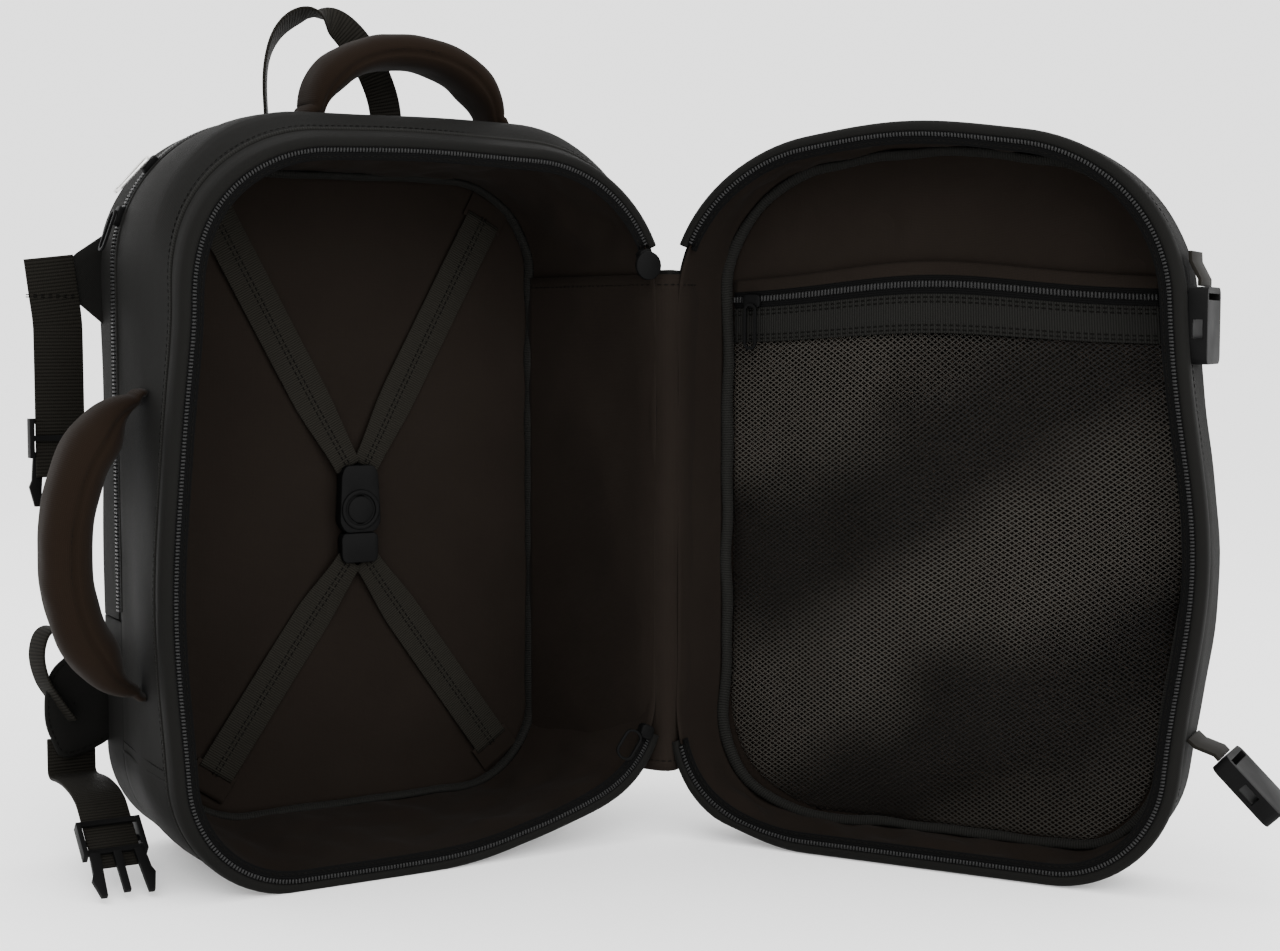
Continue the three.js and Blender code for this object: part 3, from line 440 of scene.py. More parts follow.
def pad_section(width, thickness, points=28, seam=0.9):
    """Two crowned faces that meet in a thin sewn edge."""
    a = np.linspace(0, 2 * np.pi, points, endpoint=False)
    c, s = np.cos(a), np.sin(a)
    x = np.sign(c) * np.abs(c) ** 0.8
    z = np.sign(s) * (np.abs(s) ** 0.75) * (thickness / 2 - seam) + np.sign(s) * seam * np.abs(s) ** 0.2
    return np.stack([x * width / 2, z], -1)


def stitches(build, path, up, length=2.6, gap=1.9, width=0.45, rise=0.35):
    """A row of small thread bars along a path; up is the outward direction."""
    path = resample(np.asarray(path, float), pitch=length + gap)
    shared = np.ndim(up) == 1
    up_at = unit(np.broadcast_to(np.asarray(up, float), path.shape) if shared else resample(up, len(path)))
    run = tangents(path)
    side = np.cross(run, up_at)
    build.boxes(path, run * length / 2, side * width, up_at * rise)


def teeth(build, path, across, up, pitch=2.5, size=(0.85, 2.1, 1.1)):
    """Coil-zip teeth: one rounded bar every pitch along path, its length across the zip."""
    path = np.asarray(path, float)
    dense = resample(np.hstack([path, np.broadcast_to(across, path.shape), np.broadcast_to(up, path.shape)]),
                     pitch=pitch)
    at, across, up = dense[:, :3], unit(dense[:, 3:6]), unit(dense[:, 6:])
    run = tangents(at)
    build.boxes(at, (run + across * 0.18) * size[0], across * size[1], up * size[2])


# ---------------------------------------------------------------- materials
FABRIC_IOR = 1.2
PLASTIC_IOR = 1.25


class Nodes:
    """A short way to write a node tree."""

    def __init__(self, name):
        self.material = bpy.data.materials.new(name)
        self.material.use_nodes = True
        self.tree = self.material.node_tree
        self.shader = self.tree.nodes["Principled BSDF"]

    def add(self, kind, **values):
        made = self.tree.nodes.new(kind)
        for key, value in values.items():
            if key.startswith("in_"):
                slot = key[3:]
                slot = int(slot) if slot.isdigit() else slot.replace("_", " ")
                self.feed(made.inputs[slot], value)
            else:
                setattr(made, key, value)
        return made

    def feed(self, socket, value):
        if isinstance(value, bpy.types.NodeSocket):
            self.tree.links.new(value, socket)
        else:
            socket.default_value = value

    def math(self, operation, *values):
        made = self.add("ShaderNodeMath", operation=operation)
        for socket, value in zip(made.inputs, values):
            self.feed(socket, value)
        return made.outputs[0]

    def noise(self, scale, detail=3.0, vector=None, roughness=0.5):
        made = self.add("ShaderNodeTexNoise", in_Scale=scale, in_Detail=detail, in_Roughness=roughness)
        if vector is not None:
            self.feed(made.inputs["Vector"], vector)
        return made.outputs[0]

    def ramp(self, value, *stops):
        made = self.add("ShaderNodeValToRGB")
        self.feed(made.inputs[0], value)
        elements = made.color_ramp.elements
        while len(elements) < len(stops):
            elements.new(0.5)
        for element, (position, colour) in zip(elements, stops):
            element.position = position
            element.color = (*colour, 1)
        return made.outputs[0]

    def wave(self, coordinate, pitch_mm):
        """A sine along a coordinate in metres, 0 to 1, repeating every pitch_mm."""
        turned = self.math("MULTIPLY", coordinate, 2 * math.pi / (pitch_mm * MM))
        return self.math("MULTIPLY_ADD", self.math("SINE", turned), 0.5, 0.5)

    def uv(self):
        separate = self.add("ShaderNodeSeparateXYZ")
        self.tree.links.new(self.add("ShaderNodeUVMap", uv_map="UVMap").outputs[0], separate.inputs[0])
        return separate.outputs[0], separate.outputs[1]

    def bump(self, height, strength, distance_mm, normal=None):
        made = self.add("ShaderNodeBump", in_Strength=strength, in_Distance=distance_mm * MM)
        self.feed(made.inputs["Height"], height)
        if normal is not None:
            self.feed(made.inputs["Normal"], normal)
        return made.outputs[0]


def tinted(colour, share):
    return tuple(min(1.0, c * share) for c in colour)


def weave_height(nodes, kind, pitch):
    u, v = nodes.uv()
    if kind == "twill":
        diagonal = nodes.wave(nodes.math("ADD", u, v), pitch)
        cross = nodes.wave(nodes.math("SUBTRACT", u, v), pitch * 2.2)
        return nodes.math("MULTIPLY_ADD", cross, 0.25, diagonal)
    if kind == "plain":
        return nodes.math("MULTIPLY", nodes.wave(u, pitch), nodes.wave(v, pitch))
    if kind in ("ribs", "ribs_u"):
        along, across = (u, v) if kind == "ribs" else (v, u)
        rib = nodes.math("POWER", nodes.wave(across, pitch), 0.6)
        return nodes.math("MULTIPLY_ADD", nodes.wave(along, pitch * 0.55), 0.22, rib)
    half = nodes.math("MULTIPLY_ADD", v, 0.5, u)
    other = nodes.math("MULTIPLY_ADD", v, -0.5, u)
    return nodes.math("MAXIMUM", nodes.wave(half, pitch), nodes.wave(other, pitch))


def fabric(name, colour, kind, pitch, depth=0.25, roughness=0.8, sheen=0.25, mottle=0.16, crease=0.3,
           specular=0.4, thread=1.18):
    """Woven cloth: thread relief, uneven dye, faint creases and a soft nap; its colour carries painted shade in
    the weave's hollows and a painted highlight on the raised threads.
    """
    nodes = Nodes(name)
    height = weave_height(nodes, kind, pitch)
    where = nodes.add("ShaderNodeTexCoord").outputs["Object"]
    broad = nodes.noise(9, 4, where)
    fine = nodes.noise(900, 2, where)
    dye = nodes.math("MULTIPLY_ADD", fine, 0.35, nodes.math("MULTIPLY", broad, 0.65))
    base = nodes.ramp(dye, (0.3, tinted(colour, 1 - mottle)), (0.7, tinted(colour, 1 + mottle)))
    mix = nodes.add("ShaderNodeMix", data_type="RGBA", blend_type="MULTIPLY")
    nodes.feed(mix.inputs[0], 1.0)
    nodes.feed(mix.inputs[6], base)
    # Painted shade and highlight: the colour darkens in the weave's hollows and lightens on its raised threads,
    # as far as the thread argument sets.
    weave_shade_and_highlight = nodes.ramp(height, (0.05, (0.72, 0.72, 0.72)), (0.95, (thread, thread, thread)))
    nodes.feed(mix.inputs[7], weave_shade_and_highlight)
    nodes.feed(nodes.shader.inputs["Base Color"], mix.outputs[2])
    worn = nodes.math("MULTIPLY_ADD", broad, 0.16, roughness - 0.08)
    nodes.feed(nodes.shader.inputs["Roughness"], worn)
    nodes.shader.inputs["Specular IOR Level"].default_value = specular
    nodes.shader.inputs["IOR"].default_value = FABRIC_IOR
    nodes.shader.inputs["Sheen Weight"].default_value = sheen
    nodes.shader.inputs["Sheen Roughness"].default_value = 0.45
    folds = nodes.bump(nodes.noise(34, 3, where), crease, 3.0)
    weave = nodes.bump(height, 0.7, depth, folds)
    nodes.feed(nodes.shader.inputs["Normal"], weave)
    return nodes.material


def plastic(name, colour, roughness=0.42, grain=0.12, metallic=0.0, specular=0.5):
    """Moulded or painted surface: fine grain, faint wear on its edges."""
    nodes = Nodes(name)
    where = nodes.add("ShaderNodeTexCoord").outputs["Object"]
    broad = nodes.noise(60, 3, where)
    base = nodes.ramp(broad, (0.3, tinted(colour, 0.85)), (0.75, tinted(colour, 1.2)))
    edge = nodes.add("ShaderNodeNewGeometry").outputs["Pointiness"]
    worn = nodes.ramp(edge, (0.5, (0.0, 0.0, 0.0)), (0.62, (1.0, 1.0, 1.0)))
    mix = nodes.add("ShaderNodeMix", data_type="RGBA")
    nodes.feed(mix.inputs[0], nodes.math("MULTIPLY", worn, 0.35))
    nodes.feed(mix.inputs[6], base)
    nodes.feed(mix.inputs[7], (*tinted(colour, 2.0), 1))
    nodes.feed(nodes.shader.inputs["Base Color"], mix.outputs[2])
    nodes.feed(nodes.shader.inputs["Roughness"], nodes.math("MULTIPLY_ADD", broad, 0.18, roughness - 0.09))
    nodes.shader.inputs["Metallic"].default_value = metallic
    nodes.shader.inputs["Specular IOR Level"].default_value = specular
    nodes.shader.inputs["IOR"].default_value = PLASTIC_IOR
    nodes.feed(nodes.shader.inputs["Normal"], nodes.bump(nodes.noise(1400, 2, where), grain, 0.12))
    return nodes.material


def netting(name, colour, pitch=4.4):
    """Open diamond mesh: cords cross on two diagonals and the cells between them are clear; broad diagonal
    bands of painted shade and painted sheen run through its colour.
    """
    nodes = Nodes(name)
    u, v = nodes.uv()
    one = nodes.wave(nodes.math("MULTIPLY_ADD", v, MESH_SLOPE, u), pitch)
    two = nodes.wave(nodes.math("MULTIPLY_ADD", v, -MESH_SLOPE, u), pitch)
    cord = nodes.math("MAXIMUM", one, two)
    cover = nodes.math("GREATER_THAN", cord, MESH_OPENNESS)
    where = nodes.add("ShaderNodeTexCoord").outputs["Object"]
    # Painted shade and painted sheen: broad diagonal dark and light bands, jittered by noise, scale the mesh
    # colour from 0.28 to 1.5 times.
    straight = nodes.math("MULTIPLY_ADD", u, 0.55, v)
    uneven = nodes.math("MULTIPLY", nodes.noise(7, 2, where), 0.16)
    painted_shade_bands = nodes.wave(nodes.math("ADD", straight, uneven), MESH_SHADE_BAND_PITCH)
    base = nodes.ramp(painted_shade_bands, (0.12, tinted(colour, 0.28)), (0.88, tinted(colour, 1.5)))
    nodes.feed(nodes.shader.inputs["Base Color"], base)
    nodes.feed(nodes.shader.inputs["Alpha"], cover)
    nodes.shader.inputs["Roughness"].default_value = 0.6
    nodes.shader.inputs["Specular IOR Level"].default_value = 0.1
    nodes.feed(nodes.shader.inputs["Normal"], nodes.bump(cord, 0.8, 0.5))
    return nodes.material


SHELL = fabric("shell_twill", (0.0054, 0.0053, 0.0049), "twill", 1.1, 0.12, 0.62, 0.008, 0.12, 0.25, 0.07)
LINING = fabric("lining_cloth", (0.0100, 0.0077, 0.0062), "plain", 0.9, 0.08, 0.72, 0.008, 0.18, 0.5, 0.05)
PADDING = fabric("handle_cloth", (0.0088, 0.0058, 0.0040), "plain", 1.0, 0.12, 0.85, 0.03, 0.14, 0.3, 0.05)
BACK_MESH = fabric("back_airmesh", (0.0066, 0.0062, 0.0058), "hex",
                   3.2, 0.7, 0.85, 0.02, 0.12, 0.3, 0.05, 1.7)
WEBBING = fabric("ribbed_webbing", (0.0048, 0.0044, 0.0036), "ribs",
                 2.1, 0.5, 0.55, 0.008, 0.14, 0.15, 0.08, 1.8)
ELASTIC = fabric("elastic_webbing", (0.0074, 0.0068, 0.0055), "ribs",
                 1.5, 0.35, 0.55, 0.008, 0.14, 0.15, 0.08, 1.6)
BINDING = fabric("binding_tape", (0.0058, 0.0057, 0.0052), "ribs", 1.6, 0.35, 0.6, 0.01, 0.14, 0.2, 0.08, 1.6)
TAPE = fabric("zip_tape_cloth", (0.0026, 0.0026, 0.0026), "ribs_u", 1.2, 0.25, 0.65, 0.005, 0.12, 0.15, 0.05)
THREAD = fabric("sewing_thread", (0.0030, 0.0028, 0.0025), "ribs", 0.6, 0.1, 0.5, 0.005, 0.1, 0.1, 0.08)
NETTING = netting("diamond_mesh", (0.0145, 0.0132, 0.0112))
BUCKLE = plastic("buckle_plastic", (0.0030, 0.0030, 0.0030), 0.5, specular=0.1)
COIL = plastic("nylon_coil", (0.0080, 0.0080, 0.0080), 0.3, 0.05, specular=0.35)
BLACK_METAL = plastic("painted_metal", (0.0024, 0.0024, 0.0024), 0.5, 0.06, specular=0.1)
NICKEL = plastic("satin_nickel", (0.55, 0.54, 0.52), 0.28, 0.08, 1.0)


# ---------------------------------------------------------------- shared part makers
def relief_ring(section, places, form_of, relief):
    """Like ring, with each point moved inward by relief(points)."""
    base = ring(section, places, form_of)
    extra = relief(base)
    loops = []
    for k, (y, inset) in enumerate(section):
        loops.append(np.insert(outline(form_of(y), places, inset + extra[:, k]), 1, y, axis=1))
    return np.stack(loops, 1)


def outward(places, form):
    """Unit vectors (n, 3) pointing out of the outline at places."""
    flat = unit(outline(form, places, 0.0) - outline(form, places, 1.0))
    return np.insert(flat, 1, 0.0, axis=1)


def along_outline(places, form_of, y, inset):
    return np.insert(outline(form_of(y), places, inset), 1, y, axis=1)


def band(name, section, places, form_of, material, body, slot, replaces=(), warp=same, closed=False,
         radius=0.8, relief=None, sharp=None):
    """A closed cross-section of (y, inset) run along part or all of the outline."""
    build = Build()
    section = rounded(section, radius, 3)
    points = relief_ring(section, places, form_of, relief) if relief else ring(section, places, form_of)
    build.grid(points, wrap_u=True, wrap_v=closed, cap=not closed)
    return build.object(name, material, body, slot, replaces, warp, sharp)


def panel(places, form, inset, depth, rings=18, centre=(0.0, 220.0)):
    """Points (rings, n, 3) from an outline to its centre; depth(x, z, edge) gives y, with edge 1 at the rim."""
    edge = outline(form, places, inset)
    out = []
    for k in range(rings + 1):
        share = 1 - (k / rings) ** 1.15 if k else 1.0
        share = max(share, 0.002)
        x = centre[0] + (edge[:, 0] - centre[0]) * share
        z = centre[1] + (edge[:, 1] - centre[1]) * share
        out.append(np.stack([x, depth(x, z, share), z], -1))
    return np.array(out)


def flat_at(y):
    return lambda x, z, edge: 0 * x + y


def in_plane(x, z):
    return np.stack([x, 0 * x, z], -1)


def flat_uv(build):
    """UVs from x and z: keeps a weave straight on a flat panel."""
    points = np.concatenate(build.verts)
    build.uvs = [corner for face in build.faces for corner in points[face][:, [0, 2]].tolist()]


def hardware(node, material, bevel=0.6, warp=same):
    """A moulded or metal part: the CAD solid's shape with rounded edges."""
    source = frame["nodes"][node]
    mesh = source.data.copy()
    bm = bmesh.new()
    bm.from_mesh(mesh)
    bmesh.ops.remove_doubles(bm, verts=bm.verts, dist=0.00002)
    bmesh.ops.dissolve_limit(bm, angle_limit=math.radians(4), verts=bm.verts, edges=bm.edges)
    sharp = [e for e in bm.edges if len(e.link_faces) == 2 and e.calc_face_angle(0) > math.radians(35)]
    bmesh.ops.bevel(bm, geom=sharp, offset=bevel * MM, offset_type="OFFSET", segments=2, profile=0.6,
                    affect="EDGES", clamp_overlap=True)
    bmesh.ops.triangulate(bm, faces=[f for f in bm.faces if len(f.verts) > 4])
    bm.to_mesh(mesh)
    bm.free()
    points = np.array([v.co for v in mesh.vertices]) / MM
    mesh.vertices.foreach_set("co", (warp(points) * MM).astype(np.float32).ravel())
    mesh.shade_smooth()
    mesh.set_sharp_from_angle(angle=math.radians(50))
    mesh.materials.clear()
    mesh.materials.append(material)
    made = bpy.data.objects.new(node + "_part", mesh)
    bpy.context.scene.collection.objects.link(made)
    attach(made, source["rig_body"])
    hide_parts(node)
    return made


def strip(name, path, across, section, material, body, slot, replaces=(), warp=same, closed=False):
    """One mesh from a section swept along a path; a closed path comes back to its start and has no ends."""
    build = Build()
    build.grid(sweep(path, across, section), wrap_u=True, cap=not closed)
    return build.object(name, material, body, slot, replaces, warp)


def ribbon(name, path, across, width, thickness, material, body=None, slot=None, replaces=(), warp=same):
    """Flat webbing with rounded edges."""
    return strip(name, path, across, flat_section(width, thickness), material, body, slot, replaces, warp)


def sewn(name, rows, body, slot, warp=same):
    """One mesh of thread from rows of (path, up, length, gap, width, rise); the last ones may be left out."""
    build = Build()
    for row in rows:
        stitches(build, *row)
    return build.object(name, THREAD, body, slot, (), warp)


def coil(name, path, across, up, pitch, size, body, warp=same):
    """One mesh of coil-zip teeth along a path."""
    build = Build()
    teeth(build, path, across, up, pitch, size)
    return build.object(name, COIL, body, "zip_tape", (), warp)


def quilt(name, back, front, material, body, slot, replaces=(), warp=same):
    """A closed sheet from a plain back and a shaped front, its weave kept straight."""
    build = Build()
    build.grid(np.concatenate([back, front]), wrap_u=True)
    flat_uv(build)
    return build.object(name, material, body, slot, replaces, warp)


def doubled(front, back):
    """The front face and the back face of a thin sheet, as rows that close on themselves."""
    return np.concatenate([front, back[:, ::-1]], 1)


def level_normal(face):
    """Unit vectors square to each row of points, all level."""
    run = unit(np.gradient(face, axis=1))
    return np.stack([run[..., 1], -run[..., 0], 0 * run[..., 0]], -1)


def circle(x, y, z, across, high, count):
    """A closed loop in a plane that faces the front."""
    angle = np.linspace(0, 2 * np.pi, count, endpoint=False)
    loop = np.stack([x + across * np.cos(angle), np.full(count, y), z + high * np.sin(angle)], -1)
    return np.vstack([loop, loop[:1]])


def corner_arc(bend, radius, direction):
    """(y, inset) stops round the edge where a side wall turns into the front or the back."""
    stops = np.radians(ARC_STOPS)
    return [(bend + direction * (radius - 1) * math.sin(a), radius * (1 - math.cos(a))) for a in stops]


# ---------------------------------------------------------------- shell
def shell_relief(p):
    """Broad soft dents in the stiffened cloth, fading out towards its front and back edges."""
    dents = 1.1 * ripple(p, 150, 3) + 0.35 * ripple(p, 55, 4)
    ends = smooth((p[..., 1] + 70) / 14) * smooth((33 - p[..., 1]) / 14)
    return dents * ends


def wall_line(place, start, end, inset):
    """A line from front to back on the shell's wall, at one place of the outline."""
    return np.array([along_outline([place], form_at, y, inset)[0] for y in np.linspace(start, end, 40)])


def build_shell():
    outer = [(y, 0.0) for y in np.linspace(-70.2, 33.2, 20)]
    inner = [(y, 3.4) for y in np.linspace(33.2, -70.2, 8)]
    band("bag_shell", outer + inner, whole_round(), form_at, SHELL, "bag", "shell_fabric",
         ("left_side_panel", "right_side_panel", "top_gusset", "bottom_gusset"), settle, closed=True,
         radius=0.6, relief=shell_relief)
    rim = [(-81.2, 5.4), (-82.0, 2.2), (-79.8, -0.8), (-75.0, -1.7), (-69.5, -0.7), (-66.5, -0.1),
           (-66.5, 3.4), (-76, 5.0)]
    route = part_round(*OPENING_ROUTE)
    band("bag_rim", rim, route, form_at, SHELL, "bag", "shell_fabric", ("opening_rim",), settle, radius=2.8)
    piping = [(-66.0, 0.6), (-66.0, -0.7), (-64.6, -0.9), (-63.8, -0.5), (-63.8, 0.6)]
    band("bag_rim_piping", piping, route, form_at, BINDING, "bag", "shell_fabric", (), settle, radius=0.6)
    places = part_round(*OPENING_ROUTE, 2.0)
    rows = [(along_outline(places, form_at, -61.5, -0.1), outward(places, form_at()), *FINE_STITCH)]
    for place in (0.01, 7.0, 3.98):
        up = outward([place], form_at())[0]
        rows += [(wall_line(place + side, -66, 31, -0.25), up, *FINE_STITCH) for side in (-0.012, 0.012)]
    sewn("bag_shell_stitching", rows, "bag", "shell_fabric", settle)
    for word, place in (("free", 0.0), ("hinge", 4.0)):
        strip(f"bag_seam_{word}", wall_line(place, -69, 32.5, 0.1), outward([place], form_at())[0],
              pad_section(1.3, 2.2, 10, 0.3), SHELL, "bag", "shell_fabric", (), settle)


def zip_side(body, form_of, direction, warp, tape_node):
    """One side of the main zip: a woven tape sewn under the rolled edge, and its row of coil teeth."""
    start, end = OPENING_ROUTE
    front, back, crest = (Y_OPENING + direction * step for step in (1.3, 2.5, 1.0))
    facing = np.array([0, -direction, 0])
    tape = [(front, 4.2), (front, 12.6), (back, 12.6), (back, 4.2)]
    band(f"{body}_zip_tape", tape, part_round(start + 0.02, end - 0.02), form_of, TAPE, body, "zip_tape",
         (tape_node,), warp, radius=0.5)
    places = part_round(start + 0.03, end - 0.03, 3.0)
    coil(f"{body}_zip_coil", along_outline(places, form_of, crest, 6.9), outward(places, form_of()), facing,
         2.0, (0.62, 1.3, 0.8), body, warp)
    seam = along_outline(places, form_of, front, 10.9)
    seam[:, 1] = front - direction * 0.1
    sewn(f"{body}_zip_stitching", [(seam, facing, 2.2, 1.6)], body, "zip_tape", warp)


# ---------------------------------------------------------------- lining
def behind_hinge(p):
    """1 where the hinge panel covers the side lining, 0 elsewhere."""
    return smooth((p[..., 0] - 112) / 14) * smooth((p[..., 2] - 40) / 16) * smooth((378 - p[..., 2]) / 16)


def lining_relief(p):
    """Loose cloth: soft folds, none at the sewn front edge and fewer near the back; where the hinge panel
    covers it the folds give way to a smooth outward shift.
    """
    front = smooth((p[..., 1] + 78) / 26) * (1 - 0.75 * smooth((p[..., 1] - 34) / 12))
    folds = 2.6 * crumple(p * np.array([1, 0.55, 1]), 62, 11) + 1.1 * ripple(p, 30, 12)
    return (folds * (1 - behind_hinge(p)) - 1.2 * behind_hinge(p)) * front


def binding_wave(p):
    return 0.7 * ripple(p, 45, 21)


def build_lining():
    ys = np.linspace(-78.6, LINING_BACK_Y - 0.4, 26)
    section = [(y, 0.3) for y in ys] + [(y, 1.5) for y in ys[::-1]]
    build = Build()
    build.grid(relief_ring(section, whole_round(1.3), lining_form, lining_relief), wrap_u=True, wrap_v=True)
    build.object("bag_lining", LINING, "bag", "lining_fabric", ("main_lining",), settle)
    facing = [(-80.4, 9.5), (-80.4, 13.2), (-76, 9.5), (-72, 8.2), (-72, 6.5), (-78, 7.5)]
    band("bag_facing", facing, part_round(*OPENING_ROUTE), form_at, TAPE, "bag", "lining_fabric", (), settle)
    tape = [(43.6, 0.8), (43.0, 3.6), (46.5, 5.6), (50.2, 4.6), (50.8, 1.2)]
    band("bag_back_binding", tape, whole_round(), lining_form, BINDING, "bag", "lining_fabric", (), settle,
         closed=True, radius=1.6, relief=binding_wave)

    def divider_y(x, z, edge):
        soft = smooth((1 - edge) * 6)
        return 49.2 + soft * (1.3 + 1.1 * crumple(in_plane(x, z), 120, 31))

    front = panel(whole_round(), LINING_BACK, 1.6, divider_y, 22)
    back = panel(whole_round(), LINING_BACK, 1.6, flat_at(53.2), 8)[::-1]
    quilt("bag_divider", back, front, LINING, "bag", "lining_fabric", ("divider_panel",))


# ---------------------------------------------------------------- hinge between bag and door
def on_door(u, depth, z):
    """A point (n, 3) on the open door: u from the hinge, depth outward from the opening plane."""
    u, depth, z = np.broadcast_arrays(np.asarray(u, float), np.asarray(depth, float), np.asarray(z, float))
    closed = np.stack([HALF_WIDTH - u, Y_OPENING - depth, z], -1)
    return open_door(closed)


def build_hinge():
    heights = np.linspace(HINGE_PANEL_FOOT, HINGE_PANEL_TOP, 50)
    rows = []
    for z in heights:
        bag_side = [along_outline([4.5], lining_form, y, 2.4)[0][:2] for y in np.linspace(46, -66, 16)]
        bend = [(152.0, -72.0), (155.2, -78.5), (158.6, -82.8), (162.0, -84.2)]
        door_side = [on_door(7.4 + 0.02 * d, d, z)[:2] for d in (9, 13, 18, 24, 30, 36, 42, 47, 50)]
        line = np.array([*bag_side, *bend, *door_side])
        rows.append(np.insert(resample(line, HINGE_COLUMNS), 2, z, axis=1))
    face = np.array(rows)
    end = smooth((heights - HINGE_PANEL_FOOT) / 14) * smooth((HINGE_PANEL_TOP - heights) / 14)
    normal = level_normal(face)
    folds = 2.0 * crumple(face * np.array([1, 1, 0.6]), 120, 41) + 0.8 * ripple(face, 46, 42)
    middle = np.sin(np.pi * np.linspace(0, 1, HINGE_COLUMNS)) ** 0.6
    shift = folds * end[:, None] * middle[None] * 0.8 + 1.9
    front = face + normal * shift[..., None]
    build = Build()
    build.grid(doubled(front, front - normal * 1.2), wrap_u=True, cap=True)
    lining = build.object("hinge_lining", LINING, None, "lining_fabric", ("hinge_fold",))
    ends = [front[np.argmin(abs(heights - z))] + normal[0] * 0.3
            for z in (HINGE_PANEL_FOOT + 4, HINGE_PANEL_TOP - 4)]
    rows = [(line, normal[0], 2.4, 1.8, 0.35, 0.25) for line in ends]
    thread = sewn("hinge_lining_stitching", rows, None, "lining_fabric")
    for made in (lining, thread):
        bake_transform(made)
    outer = resample(np.array([(160.6, -64.0), (161.2, -72), (161.8, -77.5), (163.2, -80.2), (165.6, -79.6),
                               *[on_door(-0.7, d, 200)[:2] for d in (9, 13, 18)]]), 16)
    path = np.array([np.insert(outer, 2, z, axis=1) for z in np.linspace(66, 366, 30)])
    side = level_normal(path) * 0.8
    build = Build()
    build.grid(doubled(path + side, path - side), wrap_u=True, cap=True)
    made = build.object("hinge_outer_fold", SHELL, None, "shell_fabric")
    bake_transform(made)


# ---------------------------------------------------------------- laptop compartment and back
SEAM_LOW_LEFT = side_place(form_at(Y_REAR_ZIP), FLAP_SEAM_Z, 0)
SEAM_LOW_RIGHT = side_place(form_at(Y_REAR_ZIP), FLAP_SEAM_Z, 4)
UPPER_ROUTE = (SEAM_LOW_LEFT + 0.002, SEAM_LOW_RIGHT - 0.002)
LOWER_ROUTE = (SEAM_LOW_RIGHT + 0.002, SEAM_LOW_LEFT - 0.002)
WING = [(157.0, 140), (178, 131), (195, 118), (199, 102), (199, 84), (190, 61), (175, 64), (157.0, 72)]
WING_LOOP = [(172, 71.6, 112), (180, 71.6, 130), (190, 70.8, 143), (199, 69.6, 141), (203, 68.4, 128),
             (200, 67.2, 112), (192, 65.6, 98), (184, 64.9, 86)]


def rear_section(start):
    bend = Y_BACK - REAR_EDGE_RADIUS
    outer = [(y, 0.0) for y in np.linspace(start, bend, 7)] + corner_arc(bend, REAR_EDGE_RADIUS, 1)
    outer.append((Y_BACK - 0.6, REAR_EDGE_RADIUS + 3))
    inner = [(y - 3.0, inset + 3.2) for y, inset in outer[::-2][:4]] + [(start + 6, 3.4), (start, 3.4)]
    return outer + inner


def rear_relief(p):
    return 0.8 * ripple(p, 120, 61) * smooth((p[..., 1] - 38) / 10)


def build_wing(side, word):
    """A lower wing of the shell and the webbing loop folded over it; side is -1 on the left."""
    loop = rounded(np.array(WING) * [side, 1], 7, 4)
    middle = loop.mean(0)
    flat_tab(f"{word}_strap_wing", loop, (66.1, 70.3), "bag")
    line = middle + (np.vstack([loop, loop[:1]]) - middle) * 0.9
    faces = ((66.0, FORWARD), (70.45, REARWARD))
    rows = [(np.insert(line, 1, y, axis=1), up, *FINE_STITCH) for y, up in faces]
    sewn(f"{word}_strap_wing_stitching", rows, "bag", "shell_fabric")
    fold = curve(np.array(WING_LOOP) * [side, 1, 1], 60)
    ribbon(f"{word}_wing_loop", fold, np.array([side * 0.35, 0.94, 0.0]), 16, 1.8, WEBBING, "bag", "webbing")


def build_laptop_compartment():
    band("laptop_flap_side", rear_section(38.6), part_round(*UPPER_ROUTE), form_at, SHELL, "laptop_flap",
         "shell_fabric", ("laptop_flap_gusset",), radius=0.5, relief=rear_relief)
    band("lower_rear_side", rear_section(33.8), part_round(*LOWER_ROUTE), form_at, SHELL, "bag",
         "shell_fabric", ("lower_rear_gusset",), radius=0.5, relief=rear_relief)
    for side, word in ((-1, "left"), (1, "right")):
        build_wing(side, word)
    for word, body, y, direction, node in (("shell", "bag", 34.9, -1, "rear_zip_shell_tape"),
                                           ("flap", "laptop_flap", 37.1, 1, "rear_zip_flap_tape")):
        band(f"rear_zip_{word}_side", [(y - 1.5, 0.5), (y + 1.5, 0.5), (y + 1.5, 3.2), (y - 1.5, 3.2)],
             part_round(*UPPER_ROUTE), form_at, TAPE, body, "zip_tape", (node,), radius=0.4)
        places = part_round(UPPER_ROUTE[0] + 0.02, UPPER_ROUTE[1] - 0.02, 3.0)
        path = along_outline(places, form_at, Y_REAR_ZIP, -0.5)
        path[:, 1] = y + direction * 0.3
        coil(f"rear_zip_{word}_coil", path, REARWARD, outward(places, form_at(Y_REAR_ZIP)), 2.3,
             (0.8, 1.35, 1.2), body)
        edge = along_outline(places, form_at, Y_REAR_ZIP, -0.3)
        edge[:, 1] = y + direction * 4.6
        strip(f"rear_zip_{word}_lip", edge, REARWARD, pad_section(4.2, 1.8, 12, 0.3), SHELL, body,
              "shell_fabric")


def back_pads(x, z):
    """How far the padded back stands proud: two columns of pads split by a spine and cross channels."""
    spine = smooth((np.abs(x) - 9) / 12)
    sides = smooth((132 - np.abs(x)) / 14)
    channels = np.ones_like(z)
    for height in (92, 150, 232, 312):
        channels = channels * smooth((np.abs(z - height) - 4) / 13)
    top = smooth((404 - z) / 20) * smooth((z - 34) / 18)
    return spine * sides * channels * top


